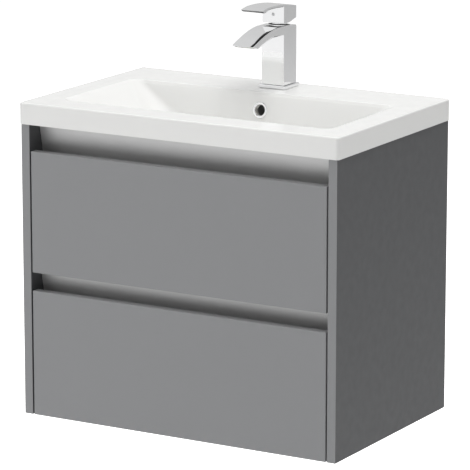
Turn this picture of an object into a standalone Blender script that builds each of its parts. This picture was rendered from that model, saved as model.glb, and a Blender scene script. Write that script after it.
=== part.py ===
"""Wall-hung vanity unit: a two-drawer cabinet, its ceramic basin, a square mixer tap, the waste and the trap.

Every place below is in the cabinet's own frame, in metres: x runs across from the middle, y is 0 at the
wall and negative towards the front, z is 0 at the cabinet's underside. The empty that carries everything
lowers that frame so that the middle of the hanging rail's wall face is the origin.
"""

import math

import bmesh
import bpy
from mathutils import Vector

# Cabinet
CABINET_WIDTH = 0.600
CABINET_HEIGHT = 0.500
CABINET_DEPTH = 0.390  # wall to the face of the drawer fronts
BOARD = 0.016
HANGING_RAIL_HEIGHT = 0.100
LOWER_RAIL_HEIGHT = 0.080
TOUCH = 0.0003  # gap between faces that meet

# Drawer fronts and the recesses above them
FRONT_BOARD = 0.016
FRONT_SIDE_GAP = 0.0025
LOWER_FRONT_HEIGHT = 0.2164
MIDDLE_RECESS = 0.0313
TOP_RECESS = 0.0445

# Finger rails, a leaning face of sheet metal with a lip
FINGER_SETBACK = 0.029  # behind the fronts, at the top of the recess
FINGER_LEAN = 0.20  # how far the face runs back for each metre down
FINGER_SHEET = 0.002
FINGER_HIDDEN = 0.016  # how far a rail runs on behind a drawer front
FINGER_LIP_GAP = 0.004  # lip to the back of a drawer front
FINGER_FLANGE = 0.025

# Drawer boxes
DRAWER_BOARD = 0.012
DRAWER_FLOOR = 0.008
BEHIND_BOX = 0.018  # each box to the rear rails
UPPER_BOX_HEIGHT = 0.110
LOWER_BOX_HEIGHT = 0.150
BOX_CLEARANCE = 0.006  # under each box, to the rail or panel below it
CUTOUT_HALF_WIDTH = 0.075
CUTOUT_IN_FRONT = 0.030  # from the trap to the front of the cut-out

# Runners
RUNNER_SHORT_OF_BOX = 0.002  # at the rear
RUNNER_HEIGHT = 0.045
RUNNER_WIDTH = 0.0127
RUNNER_SHEET = 0.0012
RUNNER_RACE = 0.0030  # the middle member's flange with its balls
RUNNER_SETBACK = 0.003  # behind the drawer front
RUNNER_ABOVE_FLOOR = 0.022

# Wall brackets
BRACKET_HEIGHT = 0.060
BRACKET_LEG = 0.036
BRACKET_SHEET = 0.0025
BRACKET_BELOW_TOP = 0.020

# Basin
BASIN_EDGE = 0.037
BASIN_OVERHANG = 0.003  # past each side panel
BASIN_NOSE = 0.002  # past the drawer fronts
BASIN_CORNER = 0.006
BASIN_ROUNDING = 0.003
BASIN_SKIRT = 0.012
BASIN_DECK = 0.012
BOWL_SHELL = 0.010
RIM_AT_SIDE = 0.045
RIM_AT_FRONT = 0.055
RIM_AT_BACK = 0.103
RIM_CORNER = 0.022
BOWL_DEPTH = 0.098  # to where the walls turn into the floor
FLOOR_LENGTH = 0.300
FLOOR_FROM_BACK_RIM = 0.022
FLOOR_FROM_FRONT_RIM = 0.037
FLOOR_CORNER = 0.075
FLOOR_DROP = 0.023  # foot of the walls to the seat of the waste
CORNER_STEPS = 6

# Waste
WASTE_HOLE = 0.023
WASTE_SEAT = 0.0315
WASTE_FLANGE = 0.0030
WASTE_THREAD = 0.0209
WASTE_BORE = 0.0160
WASTE_LENGTH = 0.072
PLUG_RADIUS = 0.0285
PLUG_THICK = 0.0042
PLUG_STEM = 0.004
PLUG_STEM_LENGTH = 0.034
GUIDE_BELOW_SEAT = 0.026
GUIDE_HEIGHT = 0.006
SEAL_RIM = 0.012
SEAL_THICK = 0.003
BACK_NUT_RIM = 0.009
BACK_NUT_THICK = 0.010
RUNNING = 0.0003  # between parts that slide or turn on each other

# Overflow
OVERFLOW_BELOW_DECK = 0.0305
OVERFLOW_HOLE = 0.012
OVERFLOW_FLANGE = 0.014
OVERFLOW_BORE = 0.0095
OVERFLOW_RISE = 0.0018
OVERFLOW_SLEEVE = 0.009

# Trap
TRAP_RADIUS = 0.031
TRAP_SHELL = 0.0025
TRAP_BODY_HEIGHT = 0.047
TRAP_NECK = 0.020
TRAP_NECK_HEIGHT = 0.009
TRAP_SHOULDER = 0.014  # below the top of the neck
TRAP_ROOF = 0.015
TRAP_CUP_FOOT = 0.006  # height of the chamfer round the cup's foot
TRAP_CUP_FLOOR = 0.004
DIP_TUBE_WALL = 0.0018
DIP_TUBE_LENGTH = 0.080
INLET_NUT_RIM = 0.006
INLET_NUT_HEIGHT = 0.018
INLET_NUT_LIFT = 0.001
OUTLET_NUT_RIM = 0.005
OUTLET_NUT_LENGTH = 0.020
OUTLET_NUT_CLEAR = 0.006  # of the trap's side
TRAP_CUP_DEPTH = 0.056
TRAP_COLLAR = 0.0345
PIPE_RADIUS = 0.0160
PIPE_BORE = 0.0142
SPIGOT_REACH = 0.046
SPIGOT_THINNER = 0.001  # than the pipe, so that the spigot fits the nut
OUTLET_BELOW_NECK = 0.0235
ROUND_STEPS = 20

# Tap, heights above the basin's deck
TAP_FROM_WALL = 0.0475
TAP_PLATE = 0.051
TAP_PLATE_HEIGHT = 0.006
TAP_COLUMN = 0.0434
TAP_REAR_HEIGHT = 0.106
TAP_TOP_HEIGHT = 0.109
SPOUT_REACH = 0.124
SPOUT_DROP = 0.0215
SPOUT_CURVE_START = 0.040
SPOUT_UNDER_HEIGHT = 0.094
SPOUT_UNDER_START = 0.055
SPOUT_UNDER_REACH = 0.109
SPOUT_UNDER_DROP = 0.012
SPOUT_WALL = 0.0030  # beside the water passage
SPOUT_SKIN = 0.0022  # above and below it
PASSAGE_REAR_HEIGHT = 0.0040
INSERT_DEPTH = 0.006
INSERT_GAP = 0.0005
INSERT_SLOTS = 7
INSERT_RIB = 0.0014
SLOT_HEIGHT = 0.0018
COLLAR_RADIUS = 0.014
COLLAR_RECESS = 0.0185
COLLAR_RECESS_DEPTH = 0.0035
COLLAR_TOP = 0.119
SHANK_RADIUS = 0.0155
SHANK_BORE = 0.0125
SHANK_LENGTH = 0.060
TAP_HOLE = 0.0175
TAP_WASHER_RIM = 0.008
TAP_WASHER_THICK = 0.003
TAP_NUT_RIM = 0.007
TAP_NUT_THICK = 0.008
WATER_BORE_TOP = 0.098

# Lever, heights above the basin's deck
LEVER_PIVOT = 0.121
LEVER_WIDTH = 0.042
LEVER_UNDERSIDE = 0.113
LEVER_REAR = 0.0222
LEVER_BLOCK_FRONT = 0.0205
LEVER_REACH = 0.0935
LEVER_CREST = 0.060
LEVER_CREST_HEIGHT = 0.1478
LEVER_BEND = 1.28  # how fast the top falls away from its crest, per metre
LEVER_BLADE = 0.0045
LEVER_CAVITY = 0.018
LEVER_CAVITY_TOP = 0.130
LEVER_REAR_RISE = 0.0054  # of the block's underside at the rear
LEVER_NOSE = 0.010  # length of the blade's tip
LEVER_NOSE_DROP = 0.0025
STEM_RADIUS = 0.0045
PIN_HALF = 0.0012
MARK_RADIUS = 0.0027
MARK_HEIGHT = 0.1275
MARK_DEPTH = 0.0015

CUT_BELOW = 0.03  # a cutter's reach on each side of the face that it starts from
CUT_ABOVE = 0.01

INNER_HALF = CABINET_WIDTH / 2 - BOARD
FRONT_FACE = -CABINET_DEPTH
FRONT_BACK = FRONT_FACE + FRONT_BOARD
UPPER_FRONT_LOW = LOWER_FRONT_HEIGHT + MIDDLE_RECESS
UPPER_FRONT_HIGH = CABINET_HEIGHT - TOP_RECESS
DECK_TOP = CABINET_HEIGHT + BASIN_EDGE
RIM_FRONT = FRONT_FACE - BASIN_NOSE + RIM_AT_FRONT
RIM_BACK = -RIM_AT_BACK
RIM_HALF = CABINET_WIDTH / 2 + BASIN_OVERHANG - RIM_AT_SIDE
FLOOR_BACK = RIM_BACK - FLOOR_FROM_BACK_RIM
FLOOR_FRONT = RIM_FRONT + FLOOR_FROM_FRONT_RIM
WASTE_Y = (FLOOR_BACK + FLOOR_FRONT) / 2
WASTE_SEAT_Z = DECK_TOP - BOWL_DEPTH - FLOOR_DROP
UNDER_BOWL_Z = WASTE_SEAT_Z - BOWL_SHELL
TAP_Y = -TAP_FROM_WALL
ORIGIN_HEIGHT = CABINET_HEIGHT - HANGING_RAIL_HEIGHT / 2
UPPER_BOX_LOW = UPPER_FRONT_LOW + FINGER_HIDDEN + BOX_CLEARANCE
LOWER_BOX_LOW = BOARD + BOX_CLEARANCE
BOX_HALF = INNER_HALF - RUNNER_WIDTH - TOUCH
BOX_REAR = -BOARD - BEHIND_BOX

# The bowl's walls: depth, how far the end walls and the long walls have come from rim to floor, corner radius
BOWL_LEVELS = (
    (0.0000, 0.00, 0.00, RIM_CORNER),
    (0.0035, 0.05, 0.12, RIM_CORNER),
    (0.0120, 0.14, 0.25, RIM_CORNER),
    (0.0550, 0.57, 0.62, 0.048),
    (BOWL_DEPTH, 1.00, 1.00, FLOOR_CORNER),
)
# The bowl's floor: depth below the walls' foot, how far the ends and the long sides have come to the waste
FLOOR_LEVELS = (
    (0.014, 0.19, 0.40),
    (0.019, 0.39, 0.75),
)


def clear_scene():
    for obj in list(bpy.data.objects):
        bpy.data.objects.remove(obj, do_unlink=True)


def finish(name, colour, roughness, metallic=0.0):
    made = bpy.data.materials.new(name)
    made.use_nodes = True
    shader = made.node_tree.nodes["Principled BSDF"]
    shader.inputs["Base Color"].default_value = (*colour, 1.0)
    shader.inputs["Roughness"].default_value = roughness
    shader.inputs["Metallic"].default_value = metallic
    return made


def hang(obj, parent, at):
    """Puts an object under its parent; at is in the cabinet's frame."""
    bpy.context.scene.collection.objects.link(obj)
    obj.parent = parent
    obj.location = Vector(at) - Vector(parent["seat"])
    return obj


def group(name, at, parent):
    """An empty that carries one moving body, placed on its joint."""
    empty = bpy.data.objects.new(name, None)
    empty["seat"] = at
    return hang(empty, parent, at)


def cabinet_frame():
    empty = bpy.data.objects.new("vanity_frame", None)
    bpy.context.scene.collection.objects.link(empty)
    empty["seat"] = (0.0, 0.0, 0.0)
    empty.location = (0.0, 0.0, -ORIGIN_HEIGHT)
    return empty


def keep(name, shape, skin, parent, at, turn=0.0, rounded=False):
    """Turns a bmesh into a named object; turn is about x."""
    bmesh.ops.recalc_face_normals(shape, faces=shape.faces[:])
    mesh = bpy.data.meshes.new(name)
    shape.to_mesh(mesh)
    shape.free()
    if skin:
        mesh.materials.append(skin)
    if rounded:
        mesh.shade_smooth()
        mesh.set_sharp_from_angle(angle=math.radians(35))
    obj = hang(bpy.data.objects.new(name, mesh), parent, at)
    obj.rotation_euler.x = turn
    return obj


def board(name, low, high, skin, parent):
    """A square-edged board between two corners."""
    low = Vector(low)
    high = Vector(high)
    shape = bmesh.new()
    bmesh.ops.create_cube(shape, size=1.0)
    bmesh.ops.scale(shape, vec=high - low, verts=shape.verts[:])
    return keep(name, shape, skin, parent, (low + high) / 2)


AXIS_ORDER = {"X": (2, 0, 1), "Y": (0, 2, 1), "Z": (0, 1, 2)}


def profile(name, outline, axis, low, high, skin, parent, at=(0.0, 0.0, 0.0)):
    """An outline carried from low to high along an axis; its pairs are the other two axes in order."""
    shape = bmesh.new()
    order = AXIS_ORDER[axis]
    corners = []
    for first, second in outline:
        triple = (first, second, low)
        corners.append(shape.verts.new([triple[i] for i in order]))
    face = shape.faces.new(corners)
    pushed = bmesh.ops.extrude_face_region(shape, geom=[face])["geom"]
    step = [((0.0, 0.0, high - low)[i]) for i in order]
    moved = [item for item in pushed if isinstance(item, bmesh.types.BMVert)]
    bmesh.ops.translate(shape, vec=step, verts=moved)
    return keep(name, shape, skin, parent, at)


def turned(name, outline, skin, parent, at, turn=0.0, steps=ROUND_STEPS):
    """A closed outline of (radius, height) turned once round its axis."""
    shape = bmesh.new()
    points = [shape.verts.new((radius, 0.0, height)) for radius, height in outline]
    edges = [shape.edges.new((a, b)) for a, b in zip(points, points[1:] + points[:1])]
    bmesh.ops.spin(
        shape,
        geom=points + edges,
        cent=(0.0, 0.0, 0.0),
        axis=(0.0, 0.0, 1.0),
        angle=2 * math.pi,
        steps=steps,
        use_merge=True,
    )
    bmesh.ops.remove_doubles(shape, verts=shape.verts[:], dist=1e-6)
    bmesh.ops.dissolve_degenerate(shape, edges=shape.edges[:], dist=1e-6)
    return keep(name, shape, skin, parent, at, turn, rounded=True)


def ring_outline(inner, outer, low, high):
    return [(inner, low), (outer, low), (outer, high), (inner, high)]


def rod_outline(radius, low, high):
    return [(0.0, low), (radius, low), (radius, high), (0.0, high)]


def combine(obj, tool, operation):
    """Applies one shape to another and leaves the tool out of the model."""
    tool.hide_render = True
    tool.display_type = "WIRE"
    change = obj.modifiers.new(operation.lower(), "BOOLEAN")
    change.operation = operation
    change.solver = "EXACT"
    change.object = tool


# ---------------------------------------------------------------- cabinet


def make_carcass(root, grey, steel):
    for side, sign in (("left", -1), ("right", 1)):
        xs = sorted((sign * INNER_HALF, sign * CABINET_WIDTH / 2))
        board(
            f"side_panel_{side}",
            (xs[0], FRONT_FACE, 0.0),
            (xs[1], 0.0, CABINET_HEIGHT),
            grey,
            root,
        )
    across = INNER_HALF - TOUCH
    board(
        "bottom_panel",
        (-across, FRONT_BACK + 0.002, 0.0),
        (across, 0.0, BOARD),
        grey,
        root,
    )
    board(
        "rear_rail_top",
        (-across, -BOARD, CABINET_HEIGHT - HANGING_RAIL_HEIGHT),
        (across, 0.0, CABINET_HEIGHT - TOUCH),
        grey,
        root,
    )
    board(
        "rear_rail_bottom",
        (-across, -BOARD, BOARD + TOUCH),
        (across, 0.0, BOARD + TOUCH + LOWER_RAIL_HEIGHT),
        grey,
        root,
    )
    for side, sign in (("left", -1), ("right", 1)):
        make_bracket(f"wall_bracket_{side}", sign, root, steel)


def make_bracket(name, sign, root, steel):
    """An angle bracket in the corner of a side panel and the hanging rail."""
    x = INNER_HALF - TOUCH
    y = -BOARD - TOUCH
    outline = [
        (x, y),
        (x, y - BRACKET_LEG),
        (x - BRACKET_SHEET, y - BRACKET_LEG),
        (x - BRACKET_SHEET, y - BRACKET_SHEET),
        (x - BRACKET_LEG, y - BRACKET_SHEET),
        (x - BRACKET_LEG, y),
    ]
    high = CABINET_HEIGHT - BRACKET_BELOW_TOP
    sided = [(sign * a, b) for a, b in outline]
    profile(name, sided, "Z", high - BRACKET_HEIGHT, high, steel, root)


def finger_face(recess_top, z):
    """The y of a finger rail's leaning face at a height."""
    return FRONT_FACE + FINGER_SETBACK + FINGER_LEAN * (recess_top - z)


def make_finger_rails(root, metal):
    across = INNER_HALF - TOUCH
    lip = FRONT_BACK + FINGER_LIP_GAP
    sheet = FINGER_SHEET

    top = CABINET_HEIGHT - TOUCH
    low = UPPER_FRONT_HIGH - FINGER_HIDDEN
    outline = [
        (finger_face(CABINET_HEIGHT, top), top),
        (finger_face(CABINET_HEIGHT, low + sheet), low + sheet),
        (lip, low + sheet),
        (lip, low),
        (finger_face(CABINET_HEIGHT, low) + sheet, low),
        (finger_face(CABINET_HEIGHT, top - sheet) + sheet, top - sheet),
        (finger_face(CABINET_HEIGHT, top) + FINGER_FLANGE, top - sheet),
        (finger_face(CABINET_HEIGHT, top) + FINGER_FLANGE, top),
    ]
    profile("finger_rail_top", outline, "X", -across, across, metal, root)

    top = UPPER_FRONT_LOW + FINGER_HIDDEN
    low = LOWER_FRONT_HEIGHT - FINGER_HIDDEN
    outline = [
        (lip, top),
        (lip, top - sheet),
        (finger_face(UPPER_FRONT_LOW, top - sheet), top - sheet),
        (finger_face(UPPER_FRONT_LOW, low + sheet), low + sheet),
        (lip, low + sheet),
        (lip, low),
        (finger_face(UPPER_FRONT_LOW, low) + sheet, low),
        (finger_face(UPPER_FRONT_LOW, top) + sheet, top),
    ]
    profile("finger_rail_middle", outline, "X", -across, across, metal, root)


# ---------------------------------------------------------------- drawers


def make_front(name, low, high, grey, body):
    half = INNER_HALF - FRONT_SIDE_GAP
    board(name, (-half, FRONT_FACE, low), (half, FRONT_BACK, high), grey, body)


def make_box_sides(drawer, low, height, skin, body):
    for side, sign in (("left", -1), ("right", 1)):
        xs = sorted((sign * (BOX_HALF - DRAWER_BOARD), sign * BOX_HALF))
        board(
            f"{drawer}_drawer_side_{side}",
            (xs[0], FRONT_BACK + TOUCH, low),
            (xs[1], BOX_REAR, low + height),
            skin,
            body,
        )


def make_lower_box(skin, body):
    inside = BOX_HALF - DRAWER_BOARD - TOUCH
    floor = LOWER_BOX_LOW + DRAWER_FLOOR
    make_box_sides("lower", LOWER_BOX_LOW, LOWER_BOX_HEIGHT, skin, body)
    board(
        "lower_drawer_bottom",
        (-inside, FRONT_BACK + TOUCH, LOWER_BOX_LOW),
        (inside, BOX_REAR, floor),
        skin,
        body,
    )
    board(
        "lower_drawer_back",
        (-inside, BOX_REAR - DRAWER_BOARD, floor + TOUCH),
        (inside, BOX_REAR, LOWER_BOX_LOW + LOWER_BOX_HEIGHT),
        skin,
        body,
    )


def make_upper_box(skin, body):
    """The upper box wraps round the trap, so its bottom is a U and its back is in two."""
    inside = BOX_HALF - DRAWER_BOARD - TOUCH
    floor = UPPER_BOX_LOW + DRAWER_FLOOR
    top = UPPER_BOX_LOW + UPPER_BOX_HEIGHT
    notch = WASTE_Y - TRAP_RADIUS - CUTOUT_IN_FRONT
    cheek = CUTOUT_HALF_WIDTH + DRAWER_BOARD
    make_box_sides("upper", UPPER_BOX_LOW, UPPER_BOX_HEIGHT, skin, body)
    outline = [
        (-inside, FRONT_BACK + TOUCH),
        (inside, FRONT_BACK + TOUCH),
        (inside, BOX_REAR),
        (CUTOUT_HALF_WIDTH, BOX_REAR),
        (CUTOUT_HALF_WIDTH, notch),
        (-CUTOUT_HALF_WIDTH, notch),
        (-CUTOUT_HALF_WIDTH, BOX_REAR),
        (-inside, BOX_REAR),
    ]
    profile("upper_drawer_bottom", outline, "Z", UPPER_BOX_LOW, floor, skin, body)
    board(
        "upper_drawer_cheek_front",
        (-cheek, notch - DRAWER_BOARD, floor + TOUCH),
        (cheek, notch, top),
        skin,
        body,
    )
    for side, sign in (("left", -1), ("right", 1)):
        xs = sorted((sign * CUTOUT_HALF_WIDTH, sign * cheek))
        board(
            f"upper_drawer_cheek_{side}",
            (xs[0], notch + TOUCH, floor + TOUCH),
            (xs[1], BOX_REAR, top),
            skin,
            body,
        )
        xs = sorted((sign * (cheek + TOUCH), sign * inside))
        board(
            f"upper_drawer_back_{side}",
            (xs[0], BOX_REAR - DRAWER_BOARD, floor + TOUCH),
            (xs[1], BOX_REAR, top),
            skin,
            body,
        )


def channel_outline(web, mouth, half_height, middle, web_thick, flange_thick):
    """A U-shaped section with its web at one x and its mouth at another."""
    inner = web + math.copysign(web_thick, mouth - web)
    low = middle - half_height
    high = middle + half_height
    return [
        (web, low),
        (mouth, low),
        (mouth, low + flange_thick),
        (inner, low + flange_thick),
        (inner, high - flange_thick),
        (mouth, high - flange_thick),
        (mouth, high),
        (web, high),
    ]


def make_runners(drawer, box_low, root, middle_body, drawer_body, steel):
    """Three nested channels on each side: on the panel, between, and on the drawer."""
    front = FRONT_BACK + RUNNER_SETBACK
    rear = BOX_REAR - RUNNER_SHORT_OF_BOX
    centre = box_low + RUNNER_ABOVE_FLOOR + RUNNER_HEIGHT / 2
    half = RUNNER_HEIGHT / 2
    middle_half = half - RUNNER_SHEET - RUNNING
    drawer_half = middle_half - RUNNER_RACE - RUNNING
    wall = INNER_HALF - TOUCH
    drawer_web = INNER_HALF - RUNNER_WIDTH
    middle_web = wall - RUNNER_SHEET - 0.003
    for side, sign in (("left", -1), ("right", 1)):
        members = (
            ("cabinet", root, wall, wall - 0.0085, half, RUNNER_SHEET),
            ("middle", middle_body, middle_web, drawer_web + 0.0015, middle_half, RUNNER_RACE),
            ("drawer", drawer_body, drawer_web, middle_web - RUNNER_SHEET - 0.001, drawer_half, RUNNER_SHEET),
        )
        for member, body, web, mouth, height, flange in members:
            outline = channel_outline(web, mouth, height, centre, RUNNER_SHEET, flange)
            sided = [(sign * x, z) for x, z in outline]
            name = f"{drawer}_runner_{member}_{side}"
            profile_y(name, sided, front, rear, steel, body)


def profile_y(name, outline, low, high, skin, body):
    """A section of (x, z) carried from front to rear, seated on its body's joint."""
    seat = Vector(body["seat"])
    local = [(x - seat.x, z - seat.z) for x, z in outline]
    profile(name, local, "Y", low - seat.y, high - seat.y, skin, body, seat)


# ---------------------------------------------------------------- basin


def mix(start, end, share):
    return start + (end - start) * share


def rounded_ring(front, back, half, corner, z):
    """Points round a rectangle with round corners, the same number for every size."""
    radius = min(corner, half, (back - front) / 2)
    points = []
    for quarter in range(4):
        side = 1 if quarter in (0, 3) else -1
        end = back - radius if quarter < 2 else front + radius
        for step in range(CORNER_STEPS + 1):
            angle = math.pi / 2 * (quarter + step / CORNER_STEPS)
            x = side * (half - radius) + radius * math.cos(angle)
            points.append((x, end + radius * math.sin(angle), z))
    return points


def round_ring(radius, z):
    return rounded_ring(WASTE_Y - radius, WASTE_Y + radius, radius, radius, z)


def bowl_ring(level, outward, drop):
    depth, end_share, long_share, corner = level
    front = mix(RIM_FRONT, FLOOR_FRONT, long_share) - outward
    back = mix(RIM_BACK, FLOOR_BACK, long_share) + outward
    half = mix(RIM_HALF, FLOOR_LENGTH / 2, end_share) + outward
    return rounded_ring(front, back, half, corner + outward, DECK_TOP - depth - drop)


def floor_ring(level, outward=0.0, drop=0.0):
    """A ring of the floor, part of the way from the foot of the walls to the waste."""
    depth, end_share, long_share = level
    front = mix(FLOOR_FRONT, WASTE_Y - WASTE_SEAT, long_share) - outward
    back = mix(FLOOR_BACK, WASTE_Y + WASTE_SEAT, long_share) + outward
    half = mix(FLOOR_LENGTH / 2, WASTE_SEAT, end_share) + outward
    corner = mix(FLOOR_CORNER, WASTE_SEAT, long_share) + outward
    return rounded_ring(front, back, half, corner, DECK_TOP - BOWL_DEPTH - depth - drop)


def basin_rings():
    """Every ring of the basin's skin, from the skirt's foot over the deck, through the bowl and back."""
    half = CABINET_WIDTH / 2 + BASIN_OVERHANG
    front = FRONT_FACE - BASIN_NOSE
    foot = CABINET_HEIGHT + TOUCH
    rings = [rounded_ring(front, 0.0, half, BASIN_CORNER, foot)]
    for step in range(3):
        angle = math.pi / 4 * step
        inset = BASIN_ROUNDING * (1 - math.cos(angle))
        z = DECK_TOP - BASIN_ROUNDING * (1 - math.sin(angle))
        ring = rounded_ring(front + inset, -inset, half - inset, BASIN_CORNER - inset, z)
        rings.append(ring)
    rings += [bowl_ring(level, 0.0, 0.0) for level in BOWL_LEVELS]
    rings += [floor_ring(level) for level in FLOOR_LEVELS]
    rings.append(round_ring(WASTE_SEAT + 0.0015, WASTE_SEAT_Z + WASTE_FLANGE))
    rings.append(round_ring(WASTE_SEAT, WASTE_SEAT_Z))
    rings.append(round_ring(WASTE_HOLE, WASTE_SEAT_Z))
    rings.append(round_ring(WASTE_HOLE, UNDER_BOWL_Z))
    rings.append(round_ring(WASTE_HOLE + 0.016, UNDER_BOWL_Z))
    rings.append(floor_ring(FLOOR_LEVELS[1], BOWL_SHELL, BOWL_SHELL))
    for level in reversed(BOWL_LEVELS[3:]):
        rings.append(bowl_ring(level, BOWL_SHELL, BOWL_SHELL / 2))
    under_deck = (BASIN_DECK, *BOWL_LEVELS[2][1:])
    rings.append(bowl_ring(under_deck, BOWL_SHELL, 0.0))
    skirt = BASIN_SKIRT
    for z in (DECK_TOP - BASIN_DECK, foot):
        rings.append(rounded_ring(front + skirt, -skirt, half - skirt, BASIN_CORNER, z))
    return rings


def make_basin(root, ceramic):
    shape = bmesh.new()
    rings = [[shape.verts.new(point) for point in ring] for ring in basin_rings()]
    for ring, following in zip(rings, rings[1:] + rings[:1]):
        for i, corner in enumerate(ring):
            after = (i + 1) % len(ring)
            shape.faces.new((corner, ring[after], following[after], following[i]))
    bmesh.ops.remove_doubles(shape, verts=shape.verts[:], dist=1e-6)
    bmesh.ops.dissolve_degenerate(shape, edges=shape.edges[:], dist=1e-6)
    basin = keep("basin", shape, ceramic, root, (0.0, 0.0, 0.0))
    axis = (0.0, TAP_Y, DECK_TOP)
    hole = turned("tap_hole_cutter", rod_outline(TAP_HOLE, -CUT_BELOW, CUT_ABOVE), None, root, axis)
    combine(basin, hole, "DIFFERENCE")
    at, turn = overflow_seat()
    outline = rod_outline(OVERFLOW_HOLE, -CUT_BELOW, CUT_ABOVE)
    hole = turned("overflow_cutter", outline, None, root, at, turn)
    combine(basin, hole, "DIFFERENCE")


def back_wall(depth):
    """The y of the bowl's back wall at a depth."""
    for above, below in zip(BOWL_LEVELS, BOWL_LEVELS[1:]):
        if depth <= below[0]:
            share = (depth - above[0]) / (below[0] - above[0])
            return mix(RIM_BACK, FLOOR_BACK, mix(above[2], below[2], share))
    return FLOOR_BACK


def overflow_seat():
    """Where the overflow ring sits on the back wall, and the turn about x that faces it into the bowl."""
    above = OVERFLOW_BELOW_DECK - OVERFLOW_FLANGE
    below = OVERFLOW_BELOW_DECK + OVERFLOW_FLANGE
    lean = math.atan2(back_wall(above) - back_wall(below), below - above)
    at = (0.0, back_wall(OVERFLOW_BELOW_DECK), DECK_TOP - OVERFLOW_BELOW_DECK)
    return at, math.pi / 2 - lean


def make_overflow_ring(root, chrome):
    at, turn = overflow_seat()
    sleeve = OVERFLOW_HOLE - RUNNING
    outline = [
        (OVERFLOW_BORE, OVERFLOW_RISE - 0.0006),
        (OVERFLOW_BORE + 0.001, OVERFLOW_RISE),
        (OVERFLOW_FLANGE - 0.001, OVERFLOW_RISE),
        (OVERFLOW_FLANGE, TOUCH * 2),
        (sleeve, TOUCH * 2),
        (sleeve, -OVERFLOW_SLEEVE),
        (OVERFLOW_BORE, -OVERFLOW_SLEEVE),
    ]
    turned("overflow_ring", outline, chrome, root, at, turn)


def make_waste(root, plug_body, chrome, rubber):
    seat = (0.0, WASTE_Y, WASTE_SEAT_Z)
    flange = WASTE_SEAT - RUNNING
    outline = [
        (WASTE_BORE, WASTE_FLANGE),
        (flange, WASTE_FLANGE),
        (flange, TOUCH),
        (WASTE_THREAD, TOUCH),
        (WASTE_THREAD, -WASTE_LENGTH),
        (WASTE_BORE, -WASTE_LENGTH),
    ]
    turned("waste_body", outline, chrome, root, seat)
    below = UNDER_BOWL_Z - TOUCH - WASTE_SEAT_Z
    bore = WASTE_THREAD + RUNNING
    outline = ring_outline(bore, bore + SEAL_RIM, below - SEAL_THICK, below)
    turned("waste_seal", outline, rubber, root, seat)
    nut_top = below - SEAL_THICK - TOUCH
    outline = ring_outline(bore, bore + BACK_NUT_RIM, nut_top - BACK_NUT_THICK, nut_top)
    turned("waste_back_nut", outline, chrome, root, seat)
    make_guide(root, chrome)
    lift = WASTE_FLANGE + TOUCH
    outline = [
        (0.0, lift - PLUG_STEM_LENGTH),
        (PLUG_STEM, lift - PLUG_STEM_LENGTH),
        (PLUG_STEM, lift),
        (PLUG_RADIUS - 0.001, lift),
        (PLUG_RADIUS, lift + 0.001),
        (PLUG_RADIUS - 0.0015, lift + PLUG_THICK - 0.001),
        (PLUG_RADIUS * 0.6, lift + PLUG_THICK),
        (0.0, lift + PLUG_THICK),
    ]
    turned("waste_plug", outline, chrome, plug_body, seat)


def make_guide(root, chrome):
    """The bar across the waste that guides the plug's stem."""
    half_width = PLUG_STEM + 0.002
    half_length = math.sqrt((WASTE_BORE - RUNNING) ** 2 - half_width**2)
    low = WASTE_SEAT_Z - GUIDE_BELOW_SEAT
    bar = board(
        "waste_guide",
        (-half_length, WASTE_Y - half_width, low),
        (half_length, WASTE_Y + half_width, low + GUIDE_HEIGHT),
        chrome,
        root,
    )
    outline = rod_outline(PLUG_STEM + RUNNING, -GUIDE_BELOW_SEAT - CUT_ABOVE, 0.0)
    drill = turned("guide_drill", outline, None, root, (0.0, WASTE_Y, WASTE_SEAT_Z))
    combine(bar, drill, "DIFFERENCE")


def make_trap(root, plastic):
    """A bottle trap: neck on the waste, dip tube down into the cup, pipe to the wall."""
    neck_top = WASTE_SEAT_Z - WASTE_LENGTH - TOUCH
    at = (0.0, WASTE_Y, neck_top)
    outlet = (0.0, WASTE_Y, neck_top - OUTLET_BELOW_NECK)
    make_trap_body(root, plastic, at, outlet)
    make_trap_cup(root, plastic, at)
    tube = WASTE_BORE - RUNNING
    outline = ring_outline(tube - DIP_TUBE_WALL, tube, -DIP_TUBE_LENGTH, -TOUCH)
    turned("trap_dip_tube", outline, plastic, root, at)
    bore = WASTE_THREAD + RUNNING
    high = INLET_NUT_LIFT + INLET_NUT_HEIGHT
    outline = ring_outline(bore, bore + INLET_NUT_RIM, INLET_NUT_LIFT, high)
    turned("trap_inlet_nut", outline, plastic, root, at)

    outline = ring_outline(PIPE_BORE, PIPE_RADIUS, SPIGOT_REACH + TOUCH, -WASTE_Y)
    turned("waste_pipe", outline, plastic, root, outlet, -math.pi / 2)
    cover = PIPE_RADIUS + RUNNING
    low = TRAP_RADIUS + OUTLET_NUT_CLEAR
    outline = ring_outline(cover, cover + OUTLET_NUT_RIM, low, low + OUTLET_NUT_LENGTH)
    turned("trap_outlet_nut", outline, plastic, root, outlet, -math.pi / 2)


def make_trap_body(root, plastic, at, outlet):
    bottom = -TRAP_BODY_HEIGHT
    inside = TRAP_RADIUS - TRAP_SHELL
    outline = [
        (WASTE_BORE, 0.0),
        (TRAP_NECK, 0.0),
        (TRAP_NECK, -TRAP_NECK_HEIGHT),
        (TRAP_RADIUS, -TRAP_SHOULDER),
        (TRAP_RADIUS, bottom),
        (inside, bottom),
        (inside, -TRAP_ROOF),
        (WASTE_BORE, -TRAP_ROOF + 0.003),
    ]
    body = turned("trap_body", outline, plastic, root, at)
    outline = rod_outline(PIPE_RADIUS - SPIGOT_THINNER, inside + 0.0005, SPIGOT_REACH)
    spigot = turned("spigot_tool", outline, None, root, outlet, -math.pi / 2)
    combine(body, spigot, "UNION")
    outline = rod_outline(PIPE_BORE - SPIGOT_THINNER, inside * 0.6, SPIGOT_REACH + CUT_ABOVE)
    drill = turned("spigot_drill", outline, None, root, outlet, -math.pi / 2)
    combine(body, drill, "DIFFERENCE")


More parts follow.
